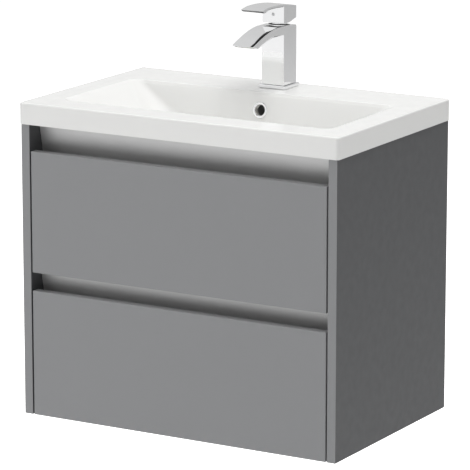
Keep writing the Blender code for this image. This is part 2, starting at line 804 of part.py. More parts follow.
def make_trap_cup(root, plastic, at):
    """The cup screws over the body's skirt with its collar."""
    bottom = -TRAP_BODY_HEIGHT
    inside = TRAP_RADIUS - TRAP_SHELL
    cup_low = bottom - TRAP_CUP_DEPTH
    outline = [
        (0.0, cup_low),
        (inside - 0.004, cup_low),
        (inside, cup_low + TRAP_CUP_FOOT),
        (inside, bottom - 0.008),
        (TRAP_COLLAR, bottom - 0.004),
        (TRAP_COLLAR, bottom + 0.005),
        (TRAP_RADIUS + RUNNING, bottom + 0.005),
        (TRAP_RADIUS + RUNNING, bottom - TOUCH),
        (inside - TRAP_SHELL, bottom - TOUCH),
        (inside - TRAP_SHELL, cup_low + TRAP_CUP_FOOT),
        (0.0, cup_low + TRAP_CUP_FLOOR),
    ]
    turned("trap_cup", outline, plastic, root, at)


# ---------------------------------------------------------------- tap


def spout_top(forward):
    """Height of the spout's upper face, forward of the column's middle."""
    run = max(0.0, forward - SPOUT_CURVE_START) / (SPOUT_REACH - SPOUT_CURVE_START)
    return TAP_TOP_HEIGHT - SPOUT_DROP * run**1.6


def spout_under(forward):
    run = max(0.0, forward - SPOUT_UNDER_START) / (SPOUT_UNDER_REACH - SPOUT_UNDER_START)
    return SPOUT_UNDER_HEIGHT - SPOUT_UNDER_DROP * run**1.6


def spread(start, end, count):
    return [mix(start, end, i / count) for i in range(count + 1)]


def tap_outline(pairs):
    """Pairs of (forward of the tap's axis, height above the deck) as (y, z)."""
    return [(TAP_Y - forward, DECK_TOP + height) for forward, height in pairs]


def passage():
    """The water passage, from over the bore along the spout to beyond the sloping end."""
    foot = SPOUT_UNDER_HEIGHT + SPOUT_SKIN
    floor = [(f, spout_under(f) + SPOUT_SKIN) for f in spread(SPOUT_UNDER_START, SPOUT_REACH, 5)]
    roof = [(f, spout_top(f) - SPOUT_SKIN) for f in spread(SPOUT_CURVE_START, SPOUT_REACH, 5)]
    return [(0.0, foot)] + floor + roof[::-1] + [(0.0, foot + PASSAGE_REAR_HEIGHT)]


def end_face(forward):
    """Height of the spout's sloping end, which leans out from the underside to the top."""
    share = (forward - SPOUT_UNDER_REACH) / (SPOUT_REACH - SPOUT_UNDER_REACH)
    return mix(spout_under(SPOUT_UNDER_REACH), spout_top(SPOUT_REACH), share)


def meets_end(curve, above):
    """How far forward a curve of the spout, moved up or down, meets the sloping end."""
    near = SPOUT_UNDER_REACH
    far = SPOUT_REACH
    for _ in range(24):
        middle = (near + far) / 2
        if curve(middle) + above > end_face(middle):
            near = middle
        else:
            far = middle
    return near


def make_spout_insert(root, plastic):
    """The flow straightener in the mouth of the spout, flush with the sloping end."""
    above = SPOUT_SKIN + INSERT_GAP
    foot = meets_end(spout_under, above)
    head = meets_end(spout_top, -above)
    pairs = [
        (foot - INSERT_DEPTH, spout_under(foot - INSERT_DEPTH) + above),
        (foot, end_face(foot)),
        (head, end_face(head)),
        (head - INSERT_DEPTH, spout_top(head - INSERT_DEPTH) - above),
    ]
    half = TAP_COLUMN / 2 - SPOUT_WALL - INSERT_GAP
    insert = profile("spout_insert", tap_outline(pairs), "X", -half, half, plastic, root)
    pitch = 2 * half / INSERT_SLOTS
    middle = DECK_TOP + (end_face(foot) + end_face(head)) / 2
    cutters = bmesh.new()
    for i in range(INSERT_SLOTS):
        slot = bmesh.ops.create_cube(cutters, size=1.0)["verts"]
        size = (pitch - INSERT_RIB, 0.05, SLOT_HEIGHT)
        bmesh.ops.scale(cutters, vec=size, verts=slot)
        place = ((i + 0.5) * pitch - half, TAP_Y - foot, middle)
        bmesh.ops.translate(cutters, vec=place, verts=slot)
    combine(insert, keep("slot_cutter", cutters, None, root, (0.0, 0.0, 0.0)), "DIFFERENCE")


def make_tap_body(root, chrome):
    half = TAP_COLUMN / 2
    foot = TAP_PLATE_HEIGHT + TOUCH
    pairs = [(-half, foot), (half, foot), (half, SPOUT_UNDER_HEIGHT)]
    pairs += [(f, spout_under(f)) for f in spread(SPOUT_UNDER_START, SPOUT_UNDER_REACH, 4)]
    tops = spread(SPOUT_CURVE_START, SPOUT_REACH, 5)
    pairs += [(f, spout_top(f)) for f in reversed(tops)]
    pairs += [(half / 2, TAP_TOP_HEIGHT), (-half, TAP_REAR_HEIGHT)]
    body = profile("tap_body", tap_outline(pairs), "X", -half, half, chrome, root)

    wide = half - SPOUT_WALL
    cutter = profile("passage_cutter", tap_outline(passage()), "X", -wide, wide, None, root)
    combine(body, cutter, "DIFFERENCE")
    axis = (0.0, TAP_Y, DECK_TOP)
    low = TAP_TOP_HEIGHT - COLLAR_RECESS_DEPTH
    cutter = turned("collar_cutter", rod_outline(COLLAR_RECESS, low, low + CUT_ABOVE), None, root, axis)
    combine(body, cutter, "DIFFERENCE")
    cutter = turned("water_cutter", rod_outline(SHANK_BORE, 0.0, WATER_BORE_TOP), None, root, axis)
    combine(body, cutter, "DIFFERENCE")


def make_tap_fixings(root, chrome, steel, rubber):
    axis = (0.0, TAP_Y, DECK_TOP)
    half = TAP_PLATE / 2
    plate = board(
        "tap_base_plate",
        (-half, TAP_Y - half, DECK_TOP + TOUCH),
        (half, TAP_Y + half, DECK_TOP + TAP_PLATE_HEIGHT),
        chrome,
        root,
    )
    clear = SHANK_RADIUS + RUNNING
    drill = turned("plate_drill", rod_outline(clear, -CUT_ABOVE, CUT_BELOW), None, root, axis)
    combine(plate, drill, "DIFFERENCE")
    outline = ring_outline(SHANK_BORE, SHANK_RADIUS, -SHANK_LENGTH, TAP_PLATE_HEIGHT)
    turned("tap_shank", outline, steel, root, axis)
    high = -BASIN_DECK - TOUCH
    outline = ring_outline(clear, clear + TAP_WASHER_RIM, high - TAP_WASHER_THICK, high)
    turned("tap_washer", outline, rubber, root, axis)
    high -= TAP_WASHER_THICK + TOUCH
    outline = ring_outline(clear, clear + TAP_NUT_RIM, high - TAP_NUT_THICK, high)
    turned("tap_nut", outline, steel, root, axis)
    low = TAP_TOP_HEIGHT - COLLAR_RECESS_DEPTH + TOUCH
    outline = [
        (0.0, low),
        (COLLAR_RADIUS, low),
        (COLLAR_RADIUS, COLLAR_TOP - 0.003),
        (COLLAR_RADIUS - 0.003, COLLAR_TOP),
        (0.0, COLLAR_TOP),
    ]
    turned("tap_collar", outline, chrome, root, axis)


def make_stem(swivel, steel):
    """The cartridge's stem, with the cross pin that the lever rocks on."""
    axis = (0.0, TAP_Y, DECK_TOP)
    outline = rod_outline(STEM_RADIUS, COLLAR_TOP + TOUCH, LEVER_PIVOT + STEM_RADIUS)
    stem = turned("cartridge_stem", outline, steel, swivel, axis, steps=12)
    reach = LEVER_CAVITY - 0.001
    middle = DECK_TOP + LEVER_PIVOT
    pin = board(
        "pin_tool",
        (-reach, TAP_Y - PIN_HALF, middle - PIN_HALF),
        (reach, TAP_Y + PIN_HALF, middle + PIN_HALF),
        None,
        swivel,
    )
    combine(stem, pin, "UNION")


def lever_top(forward):
    return LEVER_CREST_HEIGHT - LEVER_BEND * (forward - LEVER_CREST) ** 2


def make_lever(lever, chrome, blue):
    nose = LEVER_REACH - LEVER_NOSE
    pairs = [
        (-LEVER_REAR, LEVER_UNDERSIDE + LEVER_REAR_RISE),
        (0.001, LEVER_UNDERSIDE),
        (LEVER_BLOCK_FRONT, LEVER_UNDERSIDE),
        (LEVER_BLOCK_FRONT, lever_top(LEVER_BLOCK_FRONT) - LEVER_BLADE + 0.001),
    ]
    pairs += [(f, lever_top(f) - LEVER_BLADE) for f in (0.040, LEVER_CREST)]
    pairs += [
        (nose, lever_top(nose) - LEVER_BLADE - LEVER_NOSE_DROP),
        (LEVER_REACH - 0.007, LEVER_CREST_HEIGHT - 0.008),
        (LEVER_REACH, LEVER_CREST_HEIGHT - 0.0042),
        (nose, lever_top(nose) - 0.0008),
    ]
    pairs += [(f, lever_top(f)) for f in spread(LEVER_CREST + 0.010, -LEVER_REAR, 5)]
    half = LEVER_WIDTH / 2
    seat = Vector(lever["seat"])
    local = [(y - seat.y, z - seat.z) for y, z in tap_outline(pairs)]
    handle = profile("tap_lever", local, "X", -half, half, chrome, lever, seat)
    axis = (0.0, TAP_Y, DECK_TOP)
    outline = rod_outline(LEVER_CAVITY, LEVER_UNDERSIDE - CUT_ABOVE, LEVER_CAVITY_TOP)
    cutter = turned("lever_cutter", outline, None, lever, axis)
    combine(handle, cutter, "DIFFERENCE")
    face = (0.0, TAP_Y - LEVER_BLOCK_FRONT, DECK_TOP + MARK_HEIGHT)
    seat_depth = MARK_DEPTH - 0.0003
    outline = rod_outline(MARK_RADIUS + TOUCH, -seat_depth, CUT_ABOVE)
    cutter = turned("mark_cutter", outline, None, lever, face, math.pi / 2, 12)
    combine(handle, cutter, "DIFFERENCE")
    mark = rod_outline(MARK_RADIUS, TOUCH - seat_depth, 0.0003)
    turned("lever_mark", mark, blue, lever, face, math.pi / 2, 12)


def main():
    clear_scene()
    grey = finish("cabinet_grey", (0.26, 0.262, 0.27), 0.45)
    box_grey = finish("drawer_box_grey", (0.32, 0.32, 0.33), 0.55)
    steel = finish("runner_steel", (0.55, 0.55, 0.56), 0.35, 1.0)
    rail_metal = finish("finger_rail_metal", (0.62, 0.62, 0.63), 0.3, 1.0)
    ceramic = finish("ceramic_white", (0.86, 0.86, 0.85), 0.12)
    chrome = finish("chrome", (0.86, 0.87, 0.88), 0.06, 1.0)
    rubber = finish("seal_rubber", (0.03, 0.03, 0.03), 0.7)
    plastic = finish("trap_plastic", (0.8, 0.8, 0.79), 0.4)
    blue = finish("lever_mark_enamel", (0.05, 0.12, 0.45), 0.25)

    root = cabinet_frame()
    upper_axis = UPPER_BOX_LOW + RUNNER_ABOVE_FLOOR + RUNNER_HEIGHT / 2
    lower_axis = LOWER_BOX_LOW + RUNNER_ABOVE_FLOOR + RUNNER_HEIGHT / 2
    upper = group("upper_drawer", (0.0, FRONT_BACK, upper_axis), root)
    upper_middle = group("upper_runner_middle", (0.0, FRONT_BACK, upper_axis), root)
    lower = group("lower_drawer", (0.0, FRONT_BACK, lower_axis), root)
    lower_middle = group("lower_runner_middle", (0.0, FRONT_BACK, lower_axis), root)
    plug = group("waste_plug_slide", (0.0, WASTE_Y, WASTE_SEAT_Z), root)
    swivel = group("tap_swivel", (0.0, TAP_Y, DECK_TOP + LEVER_PIVOT), root)
    lever = group("tap_lever_pivot", (0.0, TAP_Y, DECK_TOP + LEVER_PIVOT), swivel)

    make_carcass(root, grey, steel)
    make_finger_rails(root, rail_metal)
    make_front("upper_drawer_front", UPPER_FRONT_LOW, UPPER_FRONT_HIGH, grey, upper)
    make_front("lower_drawer_front", 0.0, LOWER_FRONT_HEIGHT, grey, lower)
    make_upper_box(box_grey, upper)
    make_lower_box(box_grey, lower)
    make_runners("upper", UPPER_BOX_LOW, root, upper_middle, upper, steel)
    make_runners("lower", LOWER_BOX_LOW, root, lower_middle, lower, steel)
    make_basin(root, ceramic)
    make_overflow_ring(root, chrome)
    make_waste(root, plug, chrome, rubber)
    make_trap(root, plastic)
    make_tap_body(root, chrome)
    make_spout_insert(root, plastic)
    make_tap_fixings(root, chrome, steel, rubber)
    make_stem(swivel, steel)
    make_lever(lever, chrome, blue)


main()
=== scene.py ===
# %% [markdown]
# # A wall-hung vanity unit
# The piece is a grey two-drawer cabinet with a white ceramic basin and a chrome mixer tap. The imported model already
# holds every part at its true size and place. This lesson gives each part the surface of the real thing: eased board
# edges, a bowl with soft corners, a polished tap, and finishes made from nodes. It begins by loading that fixed frame,
# because every piece below takes its place from it.

# %% Load the frame
import math

import bmesh
import bpy
from mathutils import Matrix, Vector


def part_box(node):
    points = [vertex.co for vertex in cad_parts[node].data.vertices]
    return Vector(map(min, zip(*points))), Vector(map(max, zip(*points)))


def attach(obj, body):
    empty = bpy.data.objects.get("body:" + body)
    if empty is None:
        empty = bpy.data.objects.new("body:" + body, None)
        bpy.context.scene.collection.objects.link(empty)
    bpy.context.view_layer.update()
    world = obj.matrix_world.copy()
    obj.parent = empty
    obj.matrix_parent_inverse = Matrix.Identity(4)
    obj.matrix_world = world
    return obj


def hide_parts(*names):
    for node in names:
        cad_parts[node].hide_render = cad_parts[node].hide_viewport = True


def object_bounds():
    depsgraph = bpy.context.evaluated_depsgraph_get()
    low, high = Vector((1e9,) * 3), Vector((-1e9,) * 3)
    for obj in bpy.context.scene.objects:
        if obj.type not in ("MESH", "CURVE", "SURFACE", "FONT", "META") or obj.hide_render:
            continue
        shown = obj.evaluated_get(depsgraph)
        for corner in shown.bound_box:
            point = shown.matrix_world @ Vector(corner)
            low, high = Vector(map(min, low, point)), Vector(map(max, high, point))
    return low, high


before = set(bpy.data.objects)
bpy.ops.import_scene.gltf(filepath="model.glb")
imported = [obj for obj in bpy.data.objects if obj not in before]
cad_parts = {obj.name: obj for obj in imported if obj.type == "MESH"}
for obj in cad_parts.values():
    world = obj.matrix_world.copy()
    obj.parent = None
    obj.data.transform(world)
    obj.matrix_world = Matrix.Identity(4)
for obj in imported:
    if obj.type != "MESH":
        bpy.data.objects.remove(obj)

cad_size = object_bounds()

# %% [markdown]
# ## Camera
# A long lens from a few metres away keeps the cabinet's edges almost parallel. A short lens
# close by would show the same corner but would stretch the nearest drawer front. The camera stands to the right of the
# unit, a little above the basin, and looks down by about thirteen degrees.

# %% Camera
camera_data = bpy.data.cameras.new("studio_camera")
camera_data.sensor_width = 36.0
camera_data.lens = 260.4
camera = bpy.data.objects.new("studio_camera", camera_data)
bpy.context.scene.collection.objects.link(camera)
camera.location = (2.8106, -5.0211, 1.1337)
camera.rotation_euler = (math.radians(90 - 12.885), 0.0, math.radians(30.223))
bpy.context.scene.camera = camera
print("camera stands", round(camera.location.length, 2), "m away")

# %% [markdown]
# ## Light
# Chrome shows what stands around it, so the room matters more than the lamps. The room is brightest towards the front
# left and dims towards the back right, which gives each side of the tap its own even grey. Its light on matt surfaces
# is kept low. Three wide panels light those instead: one at the front left for the drawer fronts, one overhead for the
# basin's deck and one behind. No reflection shows the panels, because there they would add to the room's brightness.
# The camera sees neither the panels nor the room's shading, only plain white. So this light is arranged, not natural.

# %% Room and lamps
ROOM_SEEN = 1.0
ROOM_ON_MATT = 0.24
BRIGHT_SIDE = (-0.49, -0.87, 0.0)
ROOM_DIM = 0.525
ROOM_BRIGHT = 0.95


def toward_bright_side(tree, direction):
    """How bright the room is in a direction: it falls off from the front left to the back right."""
    unit = tree.nodes.new("ShaderNodeVectorMath")
    unit.operation = "NORMALIZE"
    along = tree.nodes.new("ShaderNodeVectorMath")
    along.operation = "DOT_PRODUCT"
    along.inputs[1].default_value = BRIGHT_SIDE
    strength = tree.nodes.new("ShaderNodeMapRange")
    strength.inputs["From Min"].default_value = -1.0
    strength.inputs["From Max"].default_value = 1.0
    strength.inputs["To Min"].default_value = ROOM_DIM
    strength.inputs["To Max"].default_value = ROOM_BRIGHT
    tree.links.new(direction, unit.inputs[0])
    tree.links.new(unit.outputs["Vector"], along.inputs[0])
    tree.links.new(along.outputs["Value"], strength.inputs["Value"])
    return strength.outputs["Result"]


def by_ray(tree, kind, otherwise, when):
    """Chooses between two values by the kind of ray that asks; either may be a number or another node's output."""
    path = tree.nodes.new("ShaderNodeLightPath")
    choice = tree.nodes.new("ShaderNodeMapRange")
    tree.links.new(path.outputs[kind], choice.inputs["Value"])
    for socket, value in (("To Min", otherwise), ("To Max", when)):
        if isinstance(value, float):
            choice.inputs[socket].default_value = value
        else:
            tree.links.new(value, choice.inputs[socket])
    return choice.outputs["Result"]


world = bpy.data.worlds.new("pale_room")
bpy.context.scene.world = world
world.use_nodes = True
room = world.node_tree
room_light = room.nodes["Background"]
room_light.inputs["Color"].default_value = (1.0, 1.0, 1.0, 1.0)
looking = room.nodes.new("ShaderNodeTexCoord")
strength = toward_bright_side(room, looking.outputs["Generated"])
strength = by_ray(room, "Is Diffuse Ray", strength, ROOM_ON_MATT)
strength = by_ray(room, "Is Camera Ray", strength, ROOM_SEEN)
room.links.new(strength, room_light.inputs["Strength"])


def panel(name, place, aim, size, radiance):
    """A soft panel of light; its power follows from its size and how bright its face is."""
    data = bpy.data.lights.new(name, "AREA")
    data.shape = "SQUARE"
    data.size = size
    data.energy = radiance * math.pi * size * size
    lamp = bpy.data.objects.new(name, data)
    bpy.context.scene.collection.objects.link(lamp)
    lamp.location = place
    direction = Vector(aim) - Vector(place)
    lamp.rotation_euler = direction.to_track_quat("-Z", "Y").to_euler()
    lamp.visible_camera = False
    lamp.visible_glossy = False
    print(name, round(data.energy, 1), "W")
    return lamp


panel("overhead_panel", (0.9, -0.5, 3.4), (0.0, -0.3, 0.0), 3.0, 4.05)
panel("back_panel", (-0.6, 3.4, 2.2), (0.0, -0.3, 0.1), 2.6, 2.4)
panel("front_left_panel", (-2.5, -3.9, 0.5), (0.0, -0.2, 0.0), 3.4, 1.66)
bpy.context.scene.view_settings.view_transform = "Standard"

# %% [markdown]
# ## Node helpers
# Every finish below starts from the Principled shader and adds small irregularities that a real surface has. The
# patterns read Object coordinates in metres, so a scale of 900 means about nine hundred grains in a metre. Image
# textures could do the same, but they would have to be painted and would blur when seen close.

# %% Node helpers
def start_finish(name, colour, roughness, metallic=0.0):
    """A new material with its Principled shader set; returns both."""
    material = bpy.data.materials.new(name)
    material.use_nodes = True
    shader = material.node_tree.nodes["Principled BSDF"]
    shader.inputs["Base Color"].default_value = (*colour, 1.0)
    shader.inputs["Roughness"].default_value = roughness
    shader.inputs["Metallic"].default_value = metallic
    return material, shader


def grain(material, scale, stretch=(1.0, 1.0, 1.0), detail=3.0):
    """Soft noise in metres, stretched along an axis where a finish has a direction."""
    tree = material.node_tree
    place = tree.nodes.new("ShaderNodeTexCoord")
    turned_by = tree.nodes.new("ShaderNodeMapping")
    turned_by.inputs["Scale"].default_value = stretch
    texture = tree.nodes.new("ShaderNodeTexNoise")
    texture.inputs["Scale"].default_value = scale
    texture.inputs["Detail"].default_value = detail
    tree.links.new(place.outputs["Object"], turned_by.inputs["Vector"])
    tree.links.new(turned_by.outputs["Vector"], texture.inputs["Vector"])
    return texture.outputs["Fac"]


def cells(material, scale):
    """A patchwork of small cells, each with its own random value."""
    tree = material.node_tree
    place = tree.nodes.new("ShaderNodeTexCoord")
    texture = tree.nodes.new("ShaderNodeTexVoronoi")
    texture.inputs["Scale"].default_value = scale
    tree.links.new(place.outputs["Object"], texture.inputs["Vector"])
    apart = tree.nodes.new("ShaderNodeSeparateColor")
    tree.links.new(texture.outputs["Color"], apart.inputs["Color"])
    return apart.outputs["Red"]


def vary_roughness(material, shader, pattern, low, high):
    tree = material.node_tree
    spread = tree.nodes.new("ShaderNodeMapRange")
    spread.inputs["From Min"].default_value = 0.3
    spread.inputs["From Max"].default_value = 0.7
    spread.inputs["To Min"].default_value = low
    spread.inputs["To Max"].default_value = high
    tree.links.new(pattern, spread.inputs["Value"])
    tree.links.new(spread.outputs["Result"], shader.inputs["Roughness"])


def vary_colour(material, shader, pattern, dark, light):
    tree = material.node_tree
    blend = tree.nodes.new("ShaderNodeMix")
    blend.data_type = "RGBA"
    blend.inputs["A"].default_value = (*dark, 1.0)
    blend.inputs["B"].default_value = (*light, 1.0)
    tree.links.new(pattern, blend.inputs["Factor"])
    tree.links.new(blend.outputs["Result"], shader.inputs["Base Color"])


def raise_surface(material, shader, pattern, height, strength=1.0):
    tree = material.node_tree
    bump = tree.nodes.new("ShaderNodeBump")
    bump.inputs["Distance"].default_value = height
    bump.inputs["Strength"].default_value = strength
    tree.links.new(pattern, bump.inputs["Height"])
    tree.links.new(bump.outputs["Normal"], shader.inputs["Normal"])


def scaled(colour, share):
    return tuple(channel * share for channel in colour)


# %% [markdown]
# ## Board finishes
# The fronts are satin lacquer over board: an even grey with a faint orange-peel surface that only shows where light
# grazes it. The carcass boards' faces that do not look forward get a much darker grey, which is painted shade for the
# sides turned away from the light; their forward edges get the fronts' grey. The drawer boxes are melamine, whose
# printed film is a little uneven. All three are one function with different values.

# %% Board finishes
def board_finish(name, colour, roughness, variation, peel_scale, peel_height):
    material, shader = start_finish(name, colour, roughness)
    cloudy = grain(material, 9.0)
    vary_colour(material, shader, cloudy, scaled(colour, 1 - variation), scaled(colour, 1 + variation))
    vary_roughness(material, shader, grain(material, 60.0), roughness - 0.04, roughness + 0.04)
    raise_surface(material, shader, grain(material, peel_scale), peel_height, 0.5)
    print("board finish:", name)
    return material


FRONT_GREY = (0.258, 0.261, 0.268)
# The side grey is painted shade: the carcass is one grey, darkened here where its faces turn away from the light.
SHADED_SIDE_GREY = (0.062, 0.0635, 0.067)
BOX_GREY = (0.300, 0.300, 0.305)
lacquer = board_finish("satin_grey_lacquer", FRONT_GREY, 0.38, 0.006, 450.0, 0.00001)
shaded_side_grey = board_finish("painted_shade_side_grey", SHADED_SIDE_GREY, 0.48, 0.008, 700.0, 0.00001)
melamine = board_finish("grey_melamine", BOX_GREY, 0.52, 0.05, 1500.0, 0.00006)

# %% [markdown]
# ## Ceramic glaze
# Sanitary ware is fired clay under a thick clear glaze. The glaze is very smooth but never quite flat, so its
# reflections bend a little. A wide, shallow bump gives that, and a clear coat over a white base gives the depth.

# %% Ceramic glaze
glaze, shader = start_finish("white_glaze", (0.86, 0.86, 0.845), 0.20)
shader.inputs["Coat Weight"].default_value = 0.25
shader.inputs["Coat Roughness"].default_value = 0.06
vary_colour(glaze, shader, grain(glaze, 6.0), (0.850, 0.850, 0.836), (0.870, 0.870, 0.856))
vary_roughness(glaze, shader, grain(glaze, 40.0), 0.17, 0.24)
raise_surface(glaze, shader, grain(glaze, 22.0, detail=1.0), 0.00025, 0.35)
print("glaze ready")

# %% [markdown]
# ## Metals
# Polished chrome gives back nearly all the light that reaches it, so its own colour is a pale grey and its tone comes
# from the room. Dried drops leave faint duller patches, which a noise in the roughness gives. The downward faces and
# the cavities of the lever and the spout get a near-black twin, which is painted shade: they are most likely chromed
# on the real tap, and the near-black stands for the shade under and inside them and gives the tap its dark
# reflections.
# Brushed rails have long scratches, so their noise is stretched along the rail. Zinc plating has small crystals.

# %% Metals
CHROME_COLOUR = (0.910, 0.914, 0.920)


def metal_finish(name, colour, low, high, scale, stretch=(1.0, 1.0, 1.0), scratch=0.0):
    material, shader = start_finish(name, colour, low, 1.0)
    pattern = grain(material, scale, stretch)
    vary_roughness(material, shader, pattern, low, high)
    vary_colour(material, shader, pattern, scaled(colour, 0.97), scaled(colour, 1.03))
    if scratch:
        raise_surface(material, shader, pattern, scratch, 0.6)
    print("metal finish:", name)
    return material


chrome = metal_finish("polished_chrome", CHROME_COLOUR, 0.035, 0.065, 45.0)
# A near-black painted shade for the tap's downward faces and cavities, which are chrome on the real tap.
painted_shade_chrome = metal_finish("painted_shade_underside", (0.020, 0.020, 0.021), 0.22, 0.32, 300.0)
brushed = metal_finish("brushed_rail", (0.56, 0.56, 0.56), 0.50, 0.58, 2600.0, (0.01, 1.0, 1.0), 0.000002)
drawn_steel = metal_finish("zinc_runner_steel", (0.55, 0.56, 0.57), 0.28, 0.42, 200.0, (1.0, 0.03, 1.0), 0.00002)

zinc, shader = start_finish("zinc_spangle", (0.50, 0.51, 0.52), 0.38, 1.0)
crystals = cells(zinc, 260.0)
vary_colour(zinc, shader, crystals, (0.44, 0.45, 0.46), (0.56, 0.57, 0.58))
vary_roughness(zinc, shader, crystals, 0.30, 0.46)
print("zinc ready")

plated_bore, shader = start_finish("pale_plated_bore", (0.80, 0.79, 0.76), 0.55, 0.35)
patches = grain(plated_bore, 900.0)
vary_colour(plated_bore, shader, patches, (0.74, 0.73, 0.70), (0.86, 0.85, 0.82))
vary_roughness(plated_bore, shader, patches, 0.48, 0.62)
print("bore ready")

# %% [markdown]
# ## Plastics and rubber
# The trap is moulded polypropylene: white, slightly waxy, with a fine eroded grain. Light enters it a little way,
# which a small subsurface weight gives. The seals are matt black rubber, and the mark on the lever is gloss enamel.

# %% Plastics and rubber
moulded, shader = start_finish("moulded_white_plastic", (0.80, 0.80, 0.79), 0.36)
shader.inputs["Subsurface Weight"].default_value = 0.08
shader.inputs["Subsurface Scale"].default_value = 0.004
vary_colour(moulded, shader, grain(moulded, 25.0), (0.78, 0.78, 0.765), (0.82, 0.82, 0.81))
vary_roughness(moulded, shader, grain(moulded, 400.0), 0.32, 0.42)
raise_surface(moulded, shader, grain(moulded, 2200.0), 0.00004, 0.5)

rubber, shader = start_finish("seal_rubber", (0.022, 0.022, 0.023), 0.62)
vary_roughness(rubber, shader, grain(rubber, 500.0), 0.55, 0.72)
raise_surface(rubber, shader, grain(rubber, 1500.0), 0.00005, 0.6)

enamel, shader = start_finish("mark_enamel", (0.80, 0.81, 0.82), 0.22)
vary_colour(enamel, shader, grain(enamel, 900.0), (0.77, 0.78, 0.79), (0.83, 0.84, 0.85))
shader.inputs["Coat Weight"].default_value = 0.8
print("plastics ready")

# %% [markdown]
# ## Mesh helpers
# Three kinds of shape make nearly everything here: a board with eased edges, an outline carried along an axis, and an
# outline turned round one. Each is a few bmesh operators. A last helper cuts one shape with another, and one gives a
# finished piece its body, its slot and the part that it stands for.

# %% Mesh helpers
def rounded_edges(shape, edges, radius, steps, affect="EDGES"):
    """Rounds the edges of a solid."""
    bmesh.ops.bevel(
        shape,
        geom=edges,
        offset=radius,
        offset_type="OFFSET",
        segments=steps,
        profile=0.5,
        affect=affect,
        clamp_overlap=True,
        material=-1,
    )


def eased(shape, corners, radius, steps):
    """Rounds the corners of a flat outline."""
    rounded_edges(shape, corners, radius, steps, "VERTICES")


def placed(shape, at, turn):
    """Tilts a shape about x, then puts it in place."""
    bmesh.ops.rotate(shape, cent=(0, 0, 0), matrix=Matrix.Rotation(turn, 3, "X"), verts=shape.verts[:])
    bmesh.ops.translate(shape, vec=at, verts=shape.verts[:])
    return shape


def board(low, high, radius=0.0008, steps=3):
    """A board between two corners, with every edge eased."""
    shape = bmesh.new()
    bmesh.ops.create_cube(shape, size=1.0)
    bmesh.ops.scale(shape, vec=Vector(high) - Vector(low), verts=shape.verts[:])
    bmesh.ops.translate(shape, vec=(Vector(high) + Vector(low)) / 2, verts=shape.verts[:])
    rounded_edges(shape, shape.edges[:], radius, steps)
    return shape


AXIS_ORDER = {"X": (2, 0, 1), "Y": (0, 2, 1), "Z": (0, 1, 2)}


def carried(outline, axis, low, high, radius=0.0, steps=3):
    """An outline carried along an axis; radius rounds the outline's own corners first."""
    shape = bmesh.new()
    order = AXIS_ORDER[axis]
    corners = []
    for first, second in outline:
        triple = (first, second, low)
        corners.append(shape.verts.new([triple[i] for i in order]))
    shape.faces.new(corners)
    if radius:
        eased(shape, corners, radius, steps)
    pushed = bmesh.ops.extrude_face_region(shape, geom=shape.faces[:])["geom"]
    triple = (0.0, 0.0, high - low)
    moved = [item for item in pushed if isinstance(item, bmesh.types.BMVert)]
    bmesh.ops.translate(shape, vec=[triple[i] for i in order], verts=moved)
    bmesh.ops.recalc_face_normals(shape, faces=shape.faces[:])
    return shape


ON_AXIS = 1e-6


def turned(outline, at, turn=0.0, radius=0.0004, steps=64):
    """An outline of (radius, height) turned round its axis, tilted about x and put in place."""
    shape = bmesh.new()
    corners = [shape.verts.new((out, 0.0, up)) for out, up in outline]
    shape.faces.new(corners)
    if radius:
        eased(shape, [corner for corner in corners if corner.co.x > ON_AXIS], radius, 3)
    bmesh.ops.delete(shape, geom=shape.faces[:], context="FACES_ONLY")
    middle = [edge for edge in shape.edges if all(v.co.x < ON_AXIS for v in edge.verts)]
    bmesh.ops.delete(shape, geom=middle, context="EDGES")
    bmesh.ops.spin(
        shape,
        geom=shape.verts[:] + shape.edges[:],
        cent=(0.0, 0.0, 0.0),
        axis=(0.0, 0.0, 1.0),
        angle=2 * math.pi,
        steps=steps,
        use_merge=True,
    )
    bmesh.ops.remove_doubles(shape, verts=shape.verts[:], dist=1e-6)
    bmesh.ops.recalc_face_normals(shape, faces=shape.faces[:])
    return placed(shape, at, turn)


def tube(inner, outer, low, high):
    return [(inner, low), (outer, low), (outer, high), (inner, high)]


def rod(radius, low, high):
    return [(0.0, low), (radius, low), (radius, high), (0.0, high)]


def ring_of(node, inner, at, ease):
    """A plain upright ring with the outer radius and the heights of a part of the frame."""
    low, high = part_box(node)
    return turned(tube(inner, high.x, low.z - at[2], high.z - at[2]), at, 0.0, ease)


def combined(shape, tool, operation="DIFFERENCE"):
    """One bmesh cut with, or joined to, another by the exact Boolean."""
    pair = []
    for part in (shape, tool):
        mesh = bpy.data.meshes.new("working")
        part.to_mesh(mesh)
        part.free()
        pair.append(bpy.data.objects.new("working", mesh))
        bpy.context.scene.collection.objects.link(pair[-1])
    change = pair[0].modifiers.new("change", "BOOLEAN")
    change.operation = operation
    change.solver = "EXACT"
    change.object = pair[1]
    graph = bpy.context.evaluated_depsgraph_get()
    result = bmesh.new()
    result.from_mesh(pair[0].evaluated_get(graph).data)
    for made in pair:
        mesh = made.data
        bpy.data.objects.remove(made)
        bpy.data.meshes.remove(mesh)
    return result


def finished(shape, name, body, finishes, stands_for, smooth=None, even=False):
    """Makes a bmesh a piece that rides on a body and stands for parts of the frame."""
    bmesh.ops.remove_doubles(shape, verts=shape.verts[:], dist=1e-6)
    mesh = bpy.data.meshes.new(name)
    shape.to_mesh(mesh)
    shape.free()
    for finish in finishes:
        mesh.materials.append(finish)
    if smooth:
        mesh.shade_smooth()
        mesh.set_sharp_from_angle(angle=math.radians(smooth))
    piece = bpy.data.objects.new(name, mesh)
    bpy.context.scene.collection.objects.link(piece)
    if even:
        weighted = piece.modifiers.new("even_shading", "WEIGHTED_NORMAL")
        weighted.keep_sharp = True
    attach(piece, body)
    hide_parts(*stands_for)
    return piece


def plastic(shape, name, node, smooth=None):
    finished(shape, name, "cabinet", [moulded], [node], smooth)


def polished(shape, name, node, smooth, even=False):
    finished(shape, name, "cabinet", [chrome], [node], smooth, even)
